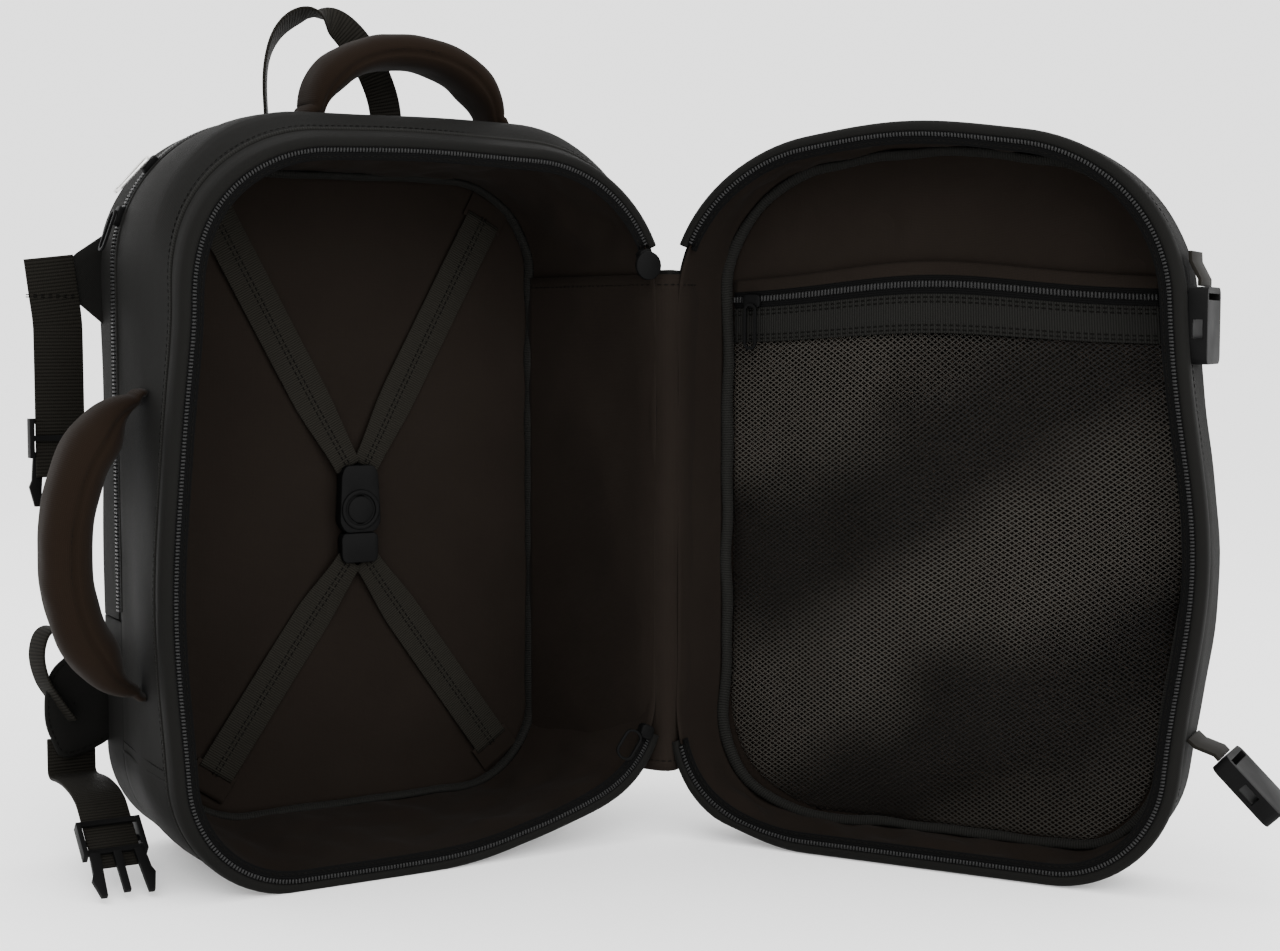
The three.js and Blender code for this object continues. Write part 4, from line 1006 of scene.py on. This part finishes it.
def build_back():
    def outer_y(rise):
        def depth(x, z, edge):
            rim = smooth((1 - edge) * 9)
            return 80.6 + rim * (0.6 + rise * back_pads(x, z) + 0.3 * ripple(in_plane(x, z), 70, 71))
        return depth

    form = form_at(Y_BACK)
    for word, body, route, centre, rise in (("laptop_flap", "laptop_flap", UPPER_ROUTE, (0.0, 152.0), 5.4),
                                            ("lower_back", "bag", LOWER_ROUTE, (0.0, 148.0), 4.2)):
        places = part_round(*route, 1.4)
        front = panel(places, form, REAR_EDGE_RADIUS - 1.2, outer_y(rise), 60, centre)
        inner = panel(places, form, REAR_EDGE_RADIUS - 1.2, flat_at(74.0), 3, centre)
        made = quilt(f"{word}_padding", inner[::-1], front, BACK_MESH, body, "pad_fabric", (f"{word}_panel",))
        line = np.insert(outline(form, places, REAR_EDGE_RADIUS - 0.2), 1, 81.6, axis=1)
        strip(f"{word}_piping", line, REARWARD, pad_section(3.4, 3.4, 12, 1.0), BINDING, body, "shell_fabric")
    seam = np.linspace((-150, 83.2, FLAP_SEAM_Z), (150, 83.2, FLAP_SEAM_Z), 60)
    made = ribbon("back_hinge_tape", seam, UPWARD, 14, 1.8, BINDING, None, "webbing")
    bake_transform(made)


# ---------------------------------------------------------------- door
DOOR_LINING_BACK_Y = -136.4
DOOR_LINING_FRONT = dict(LINING_FRONT, bottom=7.2)
DOOR_LINING_BACK = dict(half=143, top=426, bottom=10.5, top_radius=72, free_radius=54, hinge_radius=72)
DOOR_AXIS = np.array([-math.cos(DOOR_TURN), -math.sin(DOOR_TURN), 0.0])
DOOR_OUT = np.array([math.sin(DOOR_TURN), -math.cos(DOOR_TURN), 0.0])


def door_lining_form(y):
    return mixed_form(DOOR_LINING_FRONT, DOOR_LINING_BACK, (y + 85.2) / (DOOR_LINING_BACK_Y + 85.2))


def door_relief(p):
    ends = smooth((-94 - p[..., 1]) / 10)
    return (0.9 * ripple(p, 120, 81) + 0.3 * ripple(p, 50, 82)) * ends


def door_lining_relief(p):
    front = smooth((-86 - p[..., 1]) / 14) * (1 - 0.7 * smooth((-122 - p[..., 1]) / 10))
    folds = 2.4 * crumple(p, 52, 91) + 0.9 * ripple(p, 26, 92)
    return (folds * (1 - behind_hinge(p)) - 1.0 * behind_hinge(p)) * front


def build_door_shell():
    bend = DOOR_FRONT_Y + DOOR_CORNER
    outer = [(y, 0.0) for y in np.linspace(-94.2, bend, 7)] + corner_arc(bend, DOOR_CORNER, -1)
    outer.append((DOOR_FRONT_Y + 1.0, DOOR_CORNER + 2))
    inner = [(DOOR_FRONT_Y + 3.6, DOOR_CORNER + 2), (DOOR_FRONT_Y + 4.4, 10), (bend, 3.0), (-110, 3.0),
             (-94.2, 3.0)]
    band("door_shell", outer + inner, whole_round(), door_form, SHELL, "door", "shell_fabric",
         ("door_free_gusset", "door_top_gusset", "door_hinge_gusset", "door_bottom_gusset"), open_door,
         closed=True, radius=0.5, relief=door_relief)
    rim = [(-82.8, 5.4), (-82.2, 2.2), (-84.4, -0.8), (-89, -1.7), (-95, -0.7), (-98, -0.1), (-98, 3.4),
           (-88, 5.0)]
    band("door_rim_roll", rim, part_round(*OPENING_ROUTE), door_form, SHELL, "door", "shell_fabric",
         ("door_rim",), open_door, radius=2.8)

    def front_y(x, z, edge):
        rim = smooth((1 - edge) * 7)
        pocket = smooth((326 - z) / 5) * smooth((118 - np.abs(x)) / 8) * smooth((z - 60) / 14)
        dents = 0.5 * ripple(in_plane(x, z), 90, 101)
        return -140.8 - rim * (2.6 + 1.9 * pocket + 1.0 * (1 - edge ** 2) + dents)

    front = panel(whole_round(1.4), door_form(), DOOR_CORNER - 1.0, front_y, 56)
    back = panel(whole_round(1.4), door_form(), DOOR_CORNER - 1.0, flat_at(-137.2), 3)[::-1]
    quilt("door_front", back, front, SHELL, "door", "shell_fabric", ("door_front_panel",), open_door)
    line = along_outline(whole_round(1.4), door_form, -141.2, DOOR_CORNER - 1.2)
    strip("door_front_piping", np.vstack([line, line[:1]]), REARWARD, pad_section(3.6, 3.6, 12, 1.2), BINDING,
          "door", "shell_fabric", (), open_door, closed=True)
    places = part_round(*OPENING_ROUTE, 2.0)
    rows = [(along_outline(places, door_form, -101.5, -0.1), outward(places, door_form()), *FINE_STITCH)]
    for side in (-1, 1):
        line = curve([(side * 120, 322), (side * 121, 200), (side * 118, 60)], 60)
        rows.append((np.insert(line, 1, -144.9, axis=1), FORWARD))
    sewn("door_stitching", rows, "door", "shell_fabric", open_door)


def build_front_pocket():
    line = np.linspace((-104, -148.4, 330.0), (104, -148.4, 330.0), 60)
    ribbon("front_pocket_tape", line, UPWARD, 9.4, 1.2, TAPE, "door", "zip_tape", ("front_pocket_zip",),
           open_door)
    coil("front_pocket_coil", line + [0, -0.9, 0], UPWARD, FORWARD, 2.4, (0.85, 1.9, 0.8), "door", open_door)
    for side, word in ((-1, "lower"), (1, "upper")):
        strip(f"front_pocket_lip_{word}", line + [0, 1.0, side * 6.6], UPWARD, pad_section(7, 3.6, 14, 0.5),
              SHELL, "door", "shell_fabric", (), open_door)
    slider = Build()
    body = np.linspace((-98, -149.7, 330.0), (-86, -149.7, 330.0), 14)
    widths = np.interp(np.linspace(0, 1, 14), [0, 0.15, 0.5, 0.85, 1], [3.5, 6.4, 7.6, 6.4, 3.5])
    slider.grid(sweep(body, UPWARD, np.array([flat_section(w, 2.4) for w in widths])), wrap_u=True, cap=True)
    loop = circle(-76, -151.2, 330, 13, 3.6, 40)
    slider.grid(sweep(loop, REARWARD, pad_section(1.8, 1.8, 10, 0.2)), wrap_u=True)
    slider.object("front_pocket_slider", BLACK_METAL, "door", "zip_metal", (), open_door)


def door_binding_wave(p):
    return 0.8 * ripple(p, 40, 121)


def build_door_lining():
    ys = np.linspace(-84.9, DOOR_LINING_BACK_Y, 16)
    section = [(y, 0.4) for y in ys] + [(y, 1.6) for y in ys[::-1]]
    build = Build()
    build.grid(relief_ring(section, whole_round(1.4), door_lining_form, door_lining_relief), wrap_u=True,
               wrap_v=True)
    build.object("door_lining", LINING, "door", "lining_fabric", (), open_door)
    facing = [(-83.4, 9.5), (-83.4, 13.0), (-88, 10.5), (-91, 8.8), (-91, 7.0), (-86, 7.5)]
    band("door_facing", facing, part_round(*OPENING_ROUTE), door_form, TAPE, "door", "lining_fabric", (),
         open_door)

    def back_y(x, z, edge):
        soft = smooth((1 - edge) * 8)
        folds = 1.6 * crumple(in_plane(x, z), 85, 111) + 0.4
        return DOOR_LINING_BACK_Y + soft * folds * smooth((z - 338) / 20)

    front = panel(whole_round(1.4), DOOR_LINING_BACK, 0.8, back_y, 40)
    back = panel(whole_round(1.4), DOOR_LINING_BACK, 0.8, flat_at(-136.9), 3)[::-1]
    quilt("door_back_lining", back, front, LINING, "door", "lining_fabric", (), open_door)
    tape = [(-134.6, 1.2), (-134.8, 5.4), (-131.6, 7.4), (-128.0, 6.0), (-127.4, 1.6)]
    band("door_binding", tape, whole_round(1.2), door_lining_form, BINDING, "door", "lining_fabric", (),
         open_door, closed=True, radius=1.8, relief=door_binding_wave)


def pocket_grid(heights, columns):
    """Flat points of the mesh pocket, its two lower corners rounded like the lining behind it."""
    rows = []
    for z in heights:
        below = [(r, max(POCKET_FOOT + r - z, 0)) for r in POCKET_RADII]
        left, right = (POCKET_HALF - r + math.sqrt(max(r * r - b * b, 0)) for r, b in below)
        x = -left + (columns + 1) / 2 * (left + right)
        rows.append(np.stack([x, 0 * x, np.full_like(x, z)], -1))
    return np.array(rows)


def build_mesh_pocket():
    heights = np.linspace(16.5, POCKET_TOP - 22, 84)
    columns = np.linspace(-1, 1, 92)
    front = pocket_grid(heights, columns)
    across = np.clip(1 - columns ** 2, 0, 1)[None, :]
    height = (heights - heights[0]) / (heights[-1] - heights[0])
    upright = (np.clip(4 * height * (1 - height), 0, 1) ** 0.7)[:, None]
    slant = (front[..., 0] * 0.8 + front[..., 2]) / 1.28
    folds = 2.6 * np.sin(slant / 27 + 0.9 * ripple(front, 170, 131)) + 1.6 * ripple(front, 75, 132)
    lift = across ** 0.6 * upright * (5.4 + folds)
    front[..., 1] = POCKET_Y - 0.6 + np.clip(lift, -0.2, None)
    build = Build()
    build.grid(doubled(front, front - [0, 0.6, 0]), wrap_u=True, cap=True)
    flat_uv(build)
    made = build.object("mesh_pocket", NETTING, "door", "mesh_fabric", ("mesh_pocket_panel",), open_door)
    y, z = POCKET_Y - 0.4, POCKET_TOP - 13.0
    line = np.linspace((137, y, z), (-137, y, z), 90)
    line[:, 1] += 3.2 * np.clip(1 - (line[:, 0] / 137) ** 2, 0, 1) ** 0.6 + 0.5 * ripple(line, 90, 141)
    ribbon("mesh_pocket_tape", line, UPWARD, 22, 1.6, BINDING, "door", "webbing", ("mesh_pocket_band",),
           open_door)
    rows = [(line + [0, 0.9, height], REARWARD, 2.4, 1.6) for height in (-9, -6.5, 6.5, 9)]
    sewn("mesh_pocket_stitching", rows, "door", "webbing", open_door)
    zip_line = line + [0, 0.2, 16.4]
    ribbon("mesh_pocket_zip_tape", zip_line, UPWARD, 11, 1.2, TAPE, "door", "zip_tape", ("mesh_pocket_zip",),
           open_door)
    coil("mesh_pocket_coil", zip_line + [0, 0.9, 0], UPWARD, REARWARD, 2.2, (0.8, 1.9, 0.8), "door",
         open_door)
    strip("mesh_pocket_ledge", line + [0, -0.3, 24.6], UPWARD, pad_section(9, 2.6, 14, 0.4), LINING, "door",
          "lining_fabric", (), open_door)


# ---------------------------------------------------------------- handles and loop
def folded_section(width, thickness, fold=2.4, points=60):
    """A padded tube folded from cloth: full outer and inner faces that meet in a notch along each side."""
    a = np.linspace(0, 2 * np.pi, points, endpoint=False)
    c, s = np.cos(a), np.sin(a)
    z = np.sign(s) * np.abs(s) ** 0.85 * thickness / 2
    notch = 1 - 0.10 * bell(z, fold, 1.2)
    return np.stack([np.sign(c) * np.abs(c) ** 0.7 * width / 2 * notch, z], -1)


def handle(name, body, place, span, rise, size, end):
    """A fat padded arch with a folded seam along each side; its ends are sewn flat to the shell."""
    a = np.linspace(np.pi, 0, 70)
    arch = np.stack([span / 2 * np.cos(a), 0 * a, 5 + (rise - 5) * np.sin(a) ** 0.86], -1)
    feet = np.linspace(0.2, 3, 3)
    left = np.stack([-span / 2 - 3 + 0 * feet, 0 * feet, feet], -1)
    right = np.stack([span / 2 + 3 + 0 * feet, 0 * feet, feet[::-1]], -1)
    path = resample(np.vstack([left, arch, right]), HANDLE_STEPS)
    share = np.linspace(0, 1, HANDLE_STEPS)
    swell = smooth(share / 0.2) * smooth((1 - share) / 0.2)
    widths, thicks = (end[k] + (size[k] - end[k]) * swell ** 0.8 for k in (0, 1))
    inward = np.cross(np.broadcast_to(REARWARD, path.shape), tangents(path))
    path = path + inward * ((thicks - HANDLE_CAD_THICKNESS) / 2)[:, None]
    points = sweep(path, REARWARD, np.array([folded_section(w, t) for w, t in zip(widths, thicks)]))
    centre = points.mean(1, keepdims=True)
    points = points + unit(points - centre) * (0.3 * ripple(points, 26, 151) * swell[:, None])[..., None]
    build = Build()
    build.grid(points, wrap_u=True, cap=True)
    made = build.object(name, PADDING, body, "pad_fabric", (body,), place)
    rows = []
    for side in (-1, 1):
        seam = path + REARWARD * ((widths * 0.487) * side)[:, None] + inward * 0.2
        rows.append((seam[8:-8], REARWARD * side, 2.2, 1.6, 0.3, 0.25))
    sewn(f"{name}_stitching", rows, body, "pad_fabric", place)


def on_top(p):
    return p + [TOP_HANDLE_X, TOP_HANDLE_Y, BACK_HEIGHT + 0.2]


def on_side(p):
    """From a handle's own frame to the left wall, following its bow."""
    outside = form_at(-28)["half"] + 0.2
    turned = np.stack([-outside - p[..., 2], -28 + p[..., 1], 203 + p[..., 0]], -1)
    shift = settle(np.stack([np.full(turned.shape[:-1], -outside), turned[..., 1], turned[..., 2]], -1))
    turned[..., 0] += shift[..., 0] + outside
    return turned


def build_hanging_loop():
    a = np.linspace(np.pi, 0, 50)
    arch = np.stack([40 * np.cos(a), 0 * a, 6 + 62 * np.sin(a)], -1)
    path = resample(np.vstack([[[-40, 0, 0]], arch, [[40, 0, 0]]]), 70)
    lean = smooth(path[:, 2] / 66)
    path = path + np.stack([-7 * lean, 2.5 * lean, 0 * lean], -1)
    twist = np.radians(66 - 82 * smooth((np.linspace(0, 1, 70) - 0.2) / 0.6))
    across = np.stack([np.cos(twist), np.sin(twist), 0 * twist], -1)
    ribbon("hanging_webbing", path + [-28, 20.4, BACK_HEIGHT + 0.5], across, 20, 1.8, WEBBING, "hanging_loop",
           "webbing", ("hanging_loop",))


def build_handles():
    handle("top_grab_handle", "top_handle", on_top, 124, 50, (43, 21), (33, 10))
    handle("side_grab_handle", "side_handle", on_side, 168, 54, (44, 30), (23, 5))
    build_hanging_loop()
    for word, side in (("left", -1), ("right", 1)):
        middle = np.array([TOP_HANDLE_X + side * 62, TOP_HANDLE_Y])
        loop = rounded(middle + [(-15, -20), (15, -20), (15, 20), (-15, 20)], 5, 4)
        rings = [np.insert(middle + (loop - middle) * share, 2, z, axis=1)
                 for share, z in ((0.02, 455.0), (1.0, 455.0), (1.0, 456.4), (0.94, 457.0), (0.02, 457.0))]
        build = Build()
        build.grid(np.array(rings), wrap_u=True)
        build.object(f"top_handle_{word}_foot", SHELL, "bag", "shell_fabric")


# ---------------------------------------------------------------- compression straps and buckles
def flat_tab(name, loop, depths, body):
    """A flat sewn patch of shell cloth, standing in a plane that faces the front, between two depths in y."""
    near, far = depths
    middle = loop.mean(0)
    stops = ((0.02, near), (0.6, near), (0.95, near + 0.2), (1.0, near + 0.8), (1.0, far - 0.8),
             (0.95, far - 0.2), (0.6, far), (0.02, far))
    build = Build()
    build.grid(np.array([np.insert(middle + (loop - middle) * share, 1, y, axis=1) for share, y in stops]),
               wrap_u=True)
    flat_uv(build)
    return build.object(name, SHELL, body, "shell_fabric")


def build_compression_straps():
    y = 62.0
    wall = -form_at(y)["half"] - 0.6
    hanging = curve([(wall - 32, y, 372), (wall - 29.6, y, 352), (wall - 27.4, y, 334), (wall - 27, y, 318),
                     (wall - 27, y, 262), (wall - 27, y, 238)], 80)
    ribbon("upper_strap_webbing", hanging, SIDEWAYS, STRAP_WIDTH, 1.6, WEBBING, "upper_strap", "webbing",
           ("upper_compression_strap",))
    rows = [(np.linspace((wall - 45, y - 0.9, z), (wall - 18, y - 0.9, z), 12), FORWARD, 2.2, 1.4, 0.35, 0.3)
            for z in (347.6, 349.0)]
    sewn("upper_strap_hem", rows, "upper_strap", "webbing")
    tab = [(wall + 5, 388), (wall - 17, 373), (wall - 22, 360), (wall - 16, 346), (wall + 5, 328)]
    flat_tab("upper_strap_tab", rounded(tab, 4, 3), (y + 1.0, y + 3.4), "upper_strap")
    hardware("upper_male_buckle", BUCKLE, 0.7)
    x = wall - 21.4
    line = curve([(x, 72.6, 74), (x, 72.4, 57), (x, 71.4, 52), (x, 66, 50.4), (x, 52, 51.6), (x, 38, 52),
                  (x, 22, 50.6), (x, 12, 48.2), (x, 4.4, 44.4), (x, -12.5, 30.2), (x, -29.3, 16.1)], 110)
    ribbon("lower_strap_webbing", line, SIDEWAYS, STRAP_WIDTH, 1.8, WEBBING, "lower_strap", "webbing",
           ("lower_compression_strap",))
    hardware("lower_male_buckle", BUCKLE, 0.7)
    for word, shift in (("upper", 0.6), ("lower", 5.0)):
        outward_by = moved_by(DOOR_AXIS * shift)
        hardware(f"{word}_female_buckle", BUCKLE, 0.9, outward_by)
        hardware(f"{word}_female_webbing", WEBBING, 0.4, outward_by)


# ---------------------------------------------------------------- cross straps
def build_cross_straps():
    for word, outer, inner in (("upper_left", (-94, 402), (-6, 238.5)),
                               ("upper_right", (94, 402), (6, 238.5)),
                               ("lower_left", (-98, 46), (-6, 177.5)),
                               ("lower_right", (98, 46), (6, 177.5))):
        t = np.linspace(0, 1, 60)
        near = smooth((t - 0.7) / 0.3)
        dip = 2.4 if word.endswith("left") else 0.9
        y = CROSS_Y - 0.4 - near * dip + 0.9 * np.sin(np.pi * t)
        path = np.stack([outer[0] + (inner[0] - outer[0]) * t, y, outer[1] + (inner[1] - outer[1]) * t], -1)
        direction = unit(np.array([inner[0] - outer[0], 0, inner[1] - outer[1]], float))
        across = np.cross(direction, REARWARD)
        upper = word.startswith("upper")
        body = "bag" if upper else None
        section = np.array([flat_section(ELASTIC_WIDTH * (1 - 0.28 * n), 1.2) for n in near])
        strap = strip(f"elastic_{word}", path, across, section, ELASTIC, body, "webbing",
                      (f"cross_strap_{word}",))
        face = path + FORWARD * 0.75
        rows = [(face + across * offset, FORWARD, 2.2, 1.4, 0.4, 0.3) for offset in (-1.4, 1.4)]
        thread = sewn(f"elastic_{word}_stitching", rows, body, "webbing")
        if not upper:
            for made in (strap, thread):
                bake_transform(made)
        foot = np.array([outer[0], CROSS_Y + 0.3, outer[1]])
        line = np.linspace(foot - direction * 14, foot + direction * 4, 8)
        ribbon(f"elastic_{word}_anchor", line, across, 30, 1.0, LINING, "bag", "lining_fabric")


def build_cross_clip():
    hardware("cross_clip_socket", BUCKLE, 1.6, pinch_clip)
    hardware("cross_clip_tongue", BUCKLE, 1.2, pinch_clip)
    hardware("cross_clip_button", BUCKLE, 1.0)
    strip("cross_clip_collar", circle(0, CROSS_Y - 8.4, CLIP_Z, 11.6, 11.6, 64), REARWARD,
          pad_section(2.4, 3.2, 12, 0.5), BUCKLE, "bag", "buckle_plastic", closed=True)


def pinch_clip(p):
    """Draws the clip's flat sides in towards its ends, where the elastic leaves it."""
    p = np.array(p, float)
    away = np.abs(p[..., 2] - CLIP_Z)
    p[..., 0] *= 0.60 + 0.1 * bell(away, 0, 14)
    return p


# ---------------------------------------------------------------- sliders and pullers
def build_sliders():
    for word, rear_word, bevel in (("top", "upper", 0.9), ("foot", "lower", 0.5)):
        hardware(f"main_slider_{word}", BLACK_METAL, 0.9, settle)
        hardware(f"main_puller_{word}", BLACK_METAL, bevel, settle)
        hardware(f"rear_slider_{rear_word}", BLACK_METAL, 0.8)
    hardware("rear_puller_upper", NICKEL, 0.5)
    hardware("rear_puller_lower", BLACK_METAL, 0.5)
    inward = moved_by(DOOR_OUT * -1.6)
    hardware("mesh_pocket_slider", BLACK_METAL, 0.8, inward)
    hardware("mesh_pocket_puller", BLACK_METAL, 0.5, inward)


# ---------------------------------------------------------------- shoulder straps
# Each pad stop is x, y, z, width, thickness.
STRAP_STOPS = [(31, 84.5, 426, 50, 5), (34, 88, 412, 52, 7), (40, 92, 386, 58, 12), (56, 94, 340, 62, 13),
               (72, 95, 290, 62, 13), (84, 94, 240, 56, 13), (90, 93, 200, 44, 12), (92, 91, 180, 32, 8)]
FEED_STOPS = [(92, 91.2, 190), (92.6, 92.4, 177), (93, 92.6, 169), (93, 90.2, 163), (93, 89.6, 158),
              (93, 91.2, 151), (94, 91.6, 144), (106, 91, 132), (134, 89, 118), (158, 84, 110),
              (174, 77.5, 104), (189, 72.4, 99)]
TAIL_STOPS = [(93, 94.6, 168), (93, 96.5, 160), (92.6, 97.6, 148), (92, 97.2, 137)]


def build_shoulder_straps():
    stops = curve(np.array(STRAP_STOPS, float), 110)
    for side, word in ((-1, "left"), (1, "right")):
        mirrored = [side, 1, 1]
        path = stops[:, :3] * mirrored
        section = np.array([pad_section(w, t * 1.04, 32, 0.9) for w, t in stops[:, 3:]])
        made = strip(f"{word}_strap_pad", path, SIDEWAYS, section, SHELL, "laptop_flap", "pad_fabric",
                     (f"{word}_shoulder_strap",))
        run = tangents(path)
        flat = unit(SIDEWAYS - run * np.sum(SIDEWAYS * run, -1, keepdims=True))
        edging = Build()
        for edge in (-1, 1):
            line = path + flat * (stops[:, 3] / 2 * edge - edge * 0.6)[:, None]
            edging.grid(sweep(line, SIDEWAYS, pad_section(4.4, 3.0, 12, 1.0)), wrap_u=True, cap=True)
        edging.object(f"{word}_strap_edging", BINDING, "laptop_flap", "webbing")
        spine = path[18:96] + REARWARD * (stops[18:96, 4:5] * 0.52 + 0.6)
        ribbon(f"{word}_strap_webbing", spine, SIDEWAYS, 22, 1.4, WEBBING, "laptop_flap", "webbing")
        hardware(f"{word}_strap_adjuster", BUCKLE, 0.8)
        feed = curve(np.array(FEED_STOPS) * mirrored, 90)
        turn = smooth((163 - feed[:, 2]) / 52)
        across = np.stack([side * (1 - turn), 0 * turn, turn], -1)
        made = ribbon(f"{word}_lower_strap", feed, across, ELASTIC_WIDTH, 1.8, WEBBING, None, "webbing",
                      (f"{word}_lower_webbing",))
        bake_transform(made)
        ribbon(f"{word}_strap_tail", curve(np.array(TAIL_STOPS) * mirrored, 30), SIDEWAYS, 24, 1.6, WEBBING,
               "laptop_flap", "webbing")


# ---------------------------------------------------------------- floor, light and camera
def area_light(name, place, aim, size, power, colour=(1, 1, 1)):
    data = bpy.data.lights.new(name, "AREA")
    data.shape = "RECTANGLE"
    data.size, data.size_y = size
    data.energy = power
    data.color = colour
    lamp = bpy.data.objects.new(name, data)
    bpy.context.scene.collection.objects.link(lamp)
    lamp.location = place
    lamp.rotation_euler = (Vector(aim) - Vector(place)).to_track_quat("-Z", "Y").to_euler()
    return lamp


def build_stage():
    bpy.ops.mesh.primitive_plane_add(size=24, location=(0, 0, 0))
    floor = bpy.context.object
    floor.name = "floor"
    nodes = Nodes("pale_floor")
    where = nodes.add("ShaderNodeTexCoord").outputs["Object"]
    nodes.feed(nodes.shader.inputs["Base Color"],
               nodes.ramp(nodes.noise(3, 2, where), (0.3, (0.90, 0.90, 0.90)), (0.7, (0.92, 0.92, 0.92))))
    nodes.shader.inputs["Roughness"].default_value = 0.8
    nodes.shader.inputs["Emission Color"].default_value = (1, 1, 1, 1)
    nodes.shader.inputs["Emission Strength"].default_value = 0.2
    floor.data.materials.append(nodes.material)
    world = bpy.data.worlds.new("studio")
    bpy.context.scene.world = world
    world.use_nodes = True
    background = world.node_tree.nodes["Background"]
    background.inputs[0].default_value = (1, 1, 1, 1)
    background.inputs[1].default_value = 2.3
    area_light("key", (-0.9, -2.1, 1.5), (0.0, 0, 0.22), (1.4, 1.4), 36)
    area_light("fill", (0.9, -2.3, 1.0), (0.1, -0.1, 0.22), (1.6, 1.2), 32)
    area_light("overhead", (-0.2, 0.1, 2.2), (0, 0, 0.2), (1.8, 1.8), 16)
    area_light("rear", (-1.4, 1.5, 1.1), (0, 0, 0.25), (1.2, 1.2), 10)


def build_camera():
    data = bpy.data.cameras.new("camera")
    data.sensor_width = 36
    data.lens = 1967 * 36 / 1280
    data.shift_x = 0.0102
    data.shift_y = -0.0016
    data.clip_start, data.clip_end = 0.05, 40
    camera = bpy.data.objects.new("camera", data)
    bpy.context.scene.collection.objects.link(camera)
    yaw, pitch = math.radians(30.4), math.radians(-4.09)
    look = Vector((math.sin(yaw) * math.cos(pitch), math.cos(yaw) * math.cos(pitch), math.sin(pitch)))
    camera.location = (-0.497, -1.151, 0.326)
    camera.rotation_euler = look.to_track_quat("-Z", "Y").to_euler()
    bpy.context.scene.camera = camera


build_stage()
build_camera()
build_shell()
zip_side("bag", form_at, 1, settle, "main_zip_shell_tape")
build_lining()
build_hinge()
build_laptop_compartment()
build_back()
build_door_shell()
zip_side("door", door_form, -1, open_door, "main_zip_door_tape")
build_front_pocket()
build_door_lining()
build_mesh_pocket()
build_handles()
build_compression_straps()
build_cross_straps()
build_cross_clip()
build_sliders()
build_shoulder_straps()
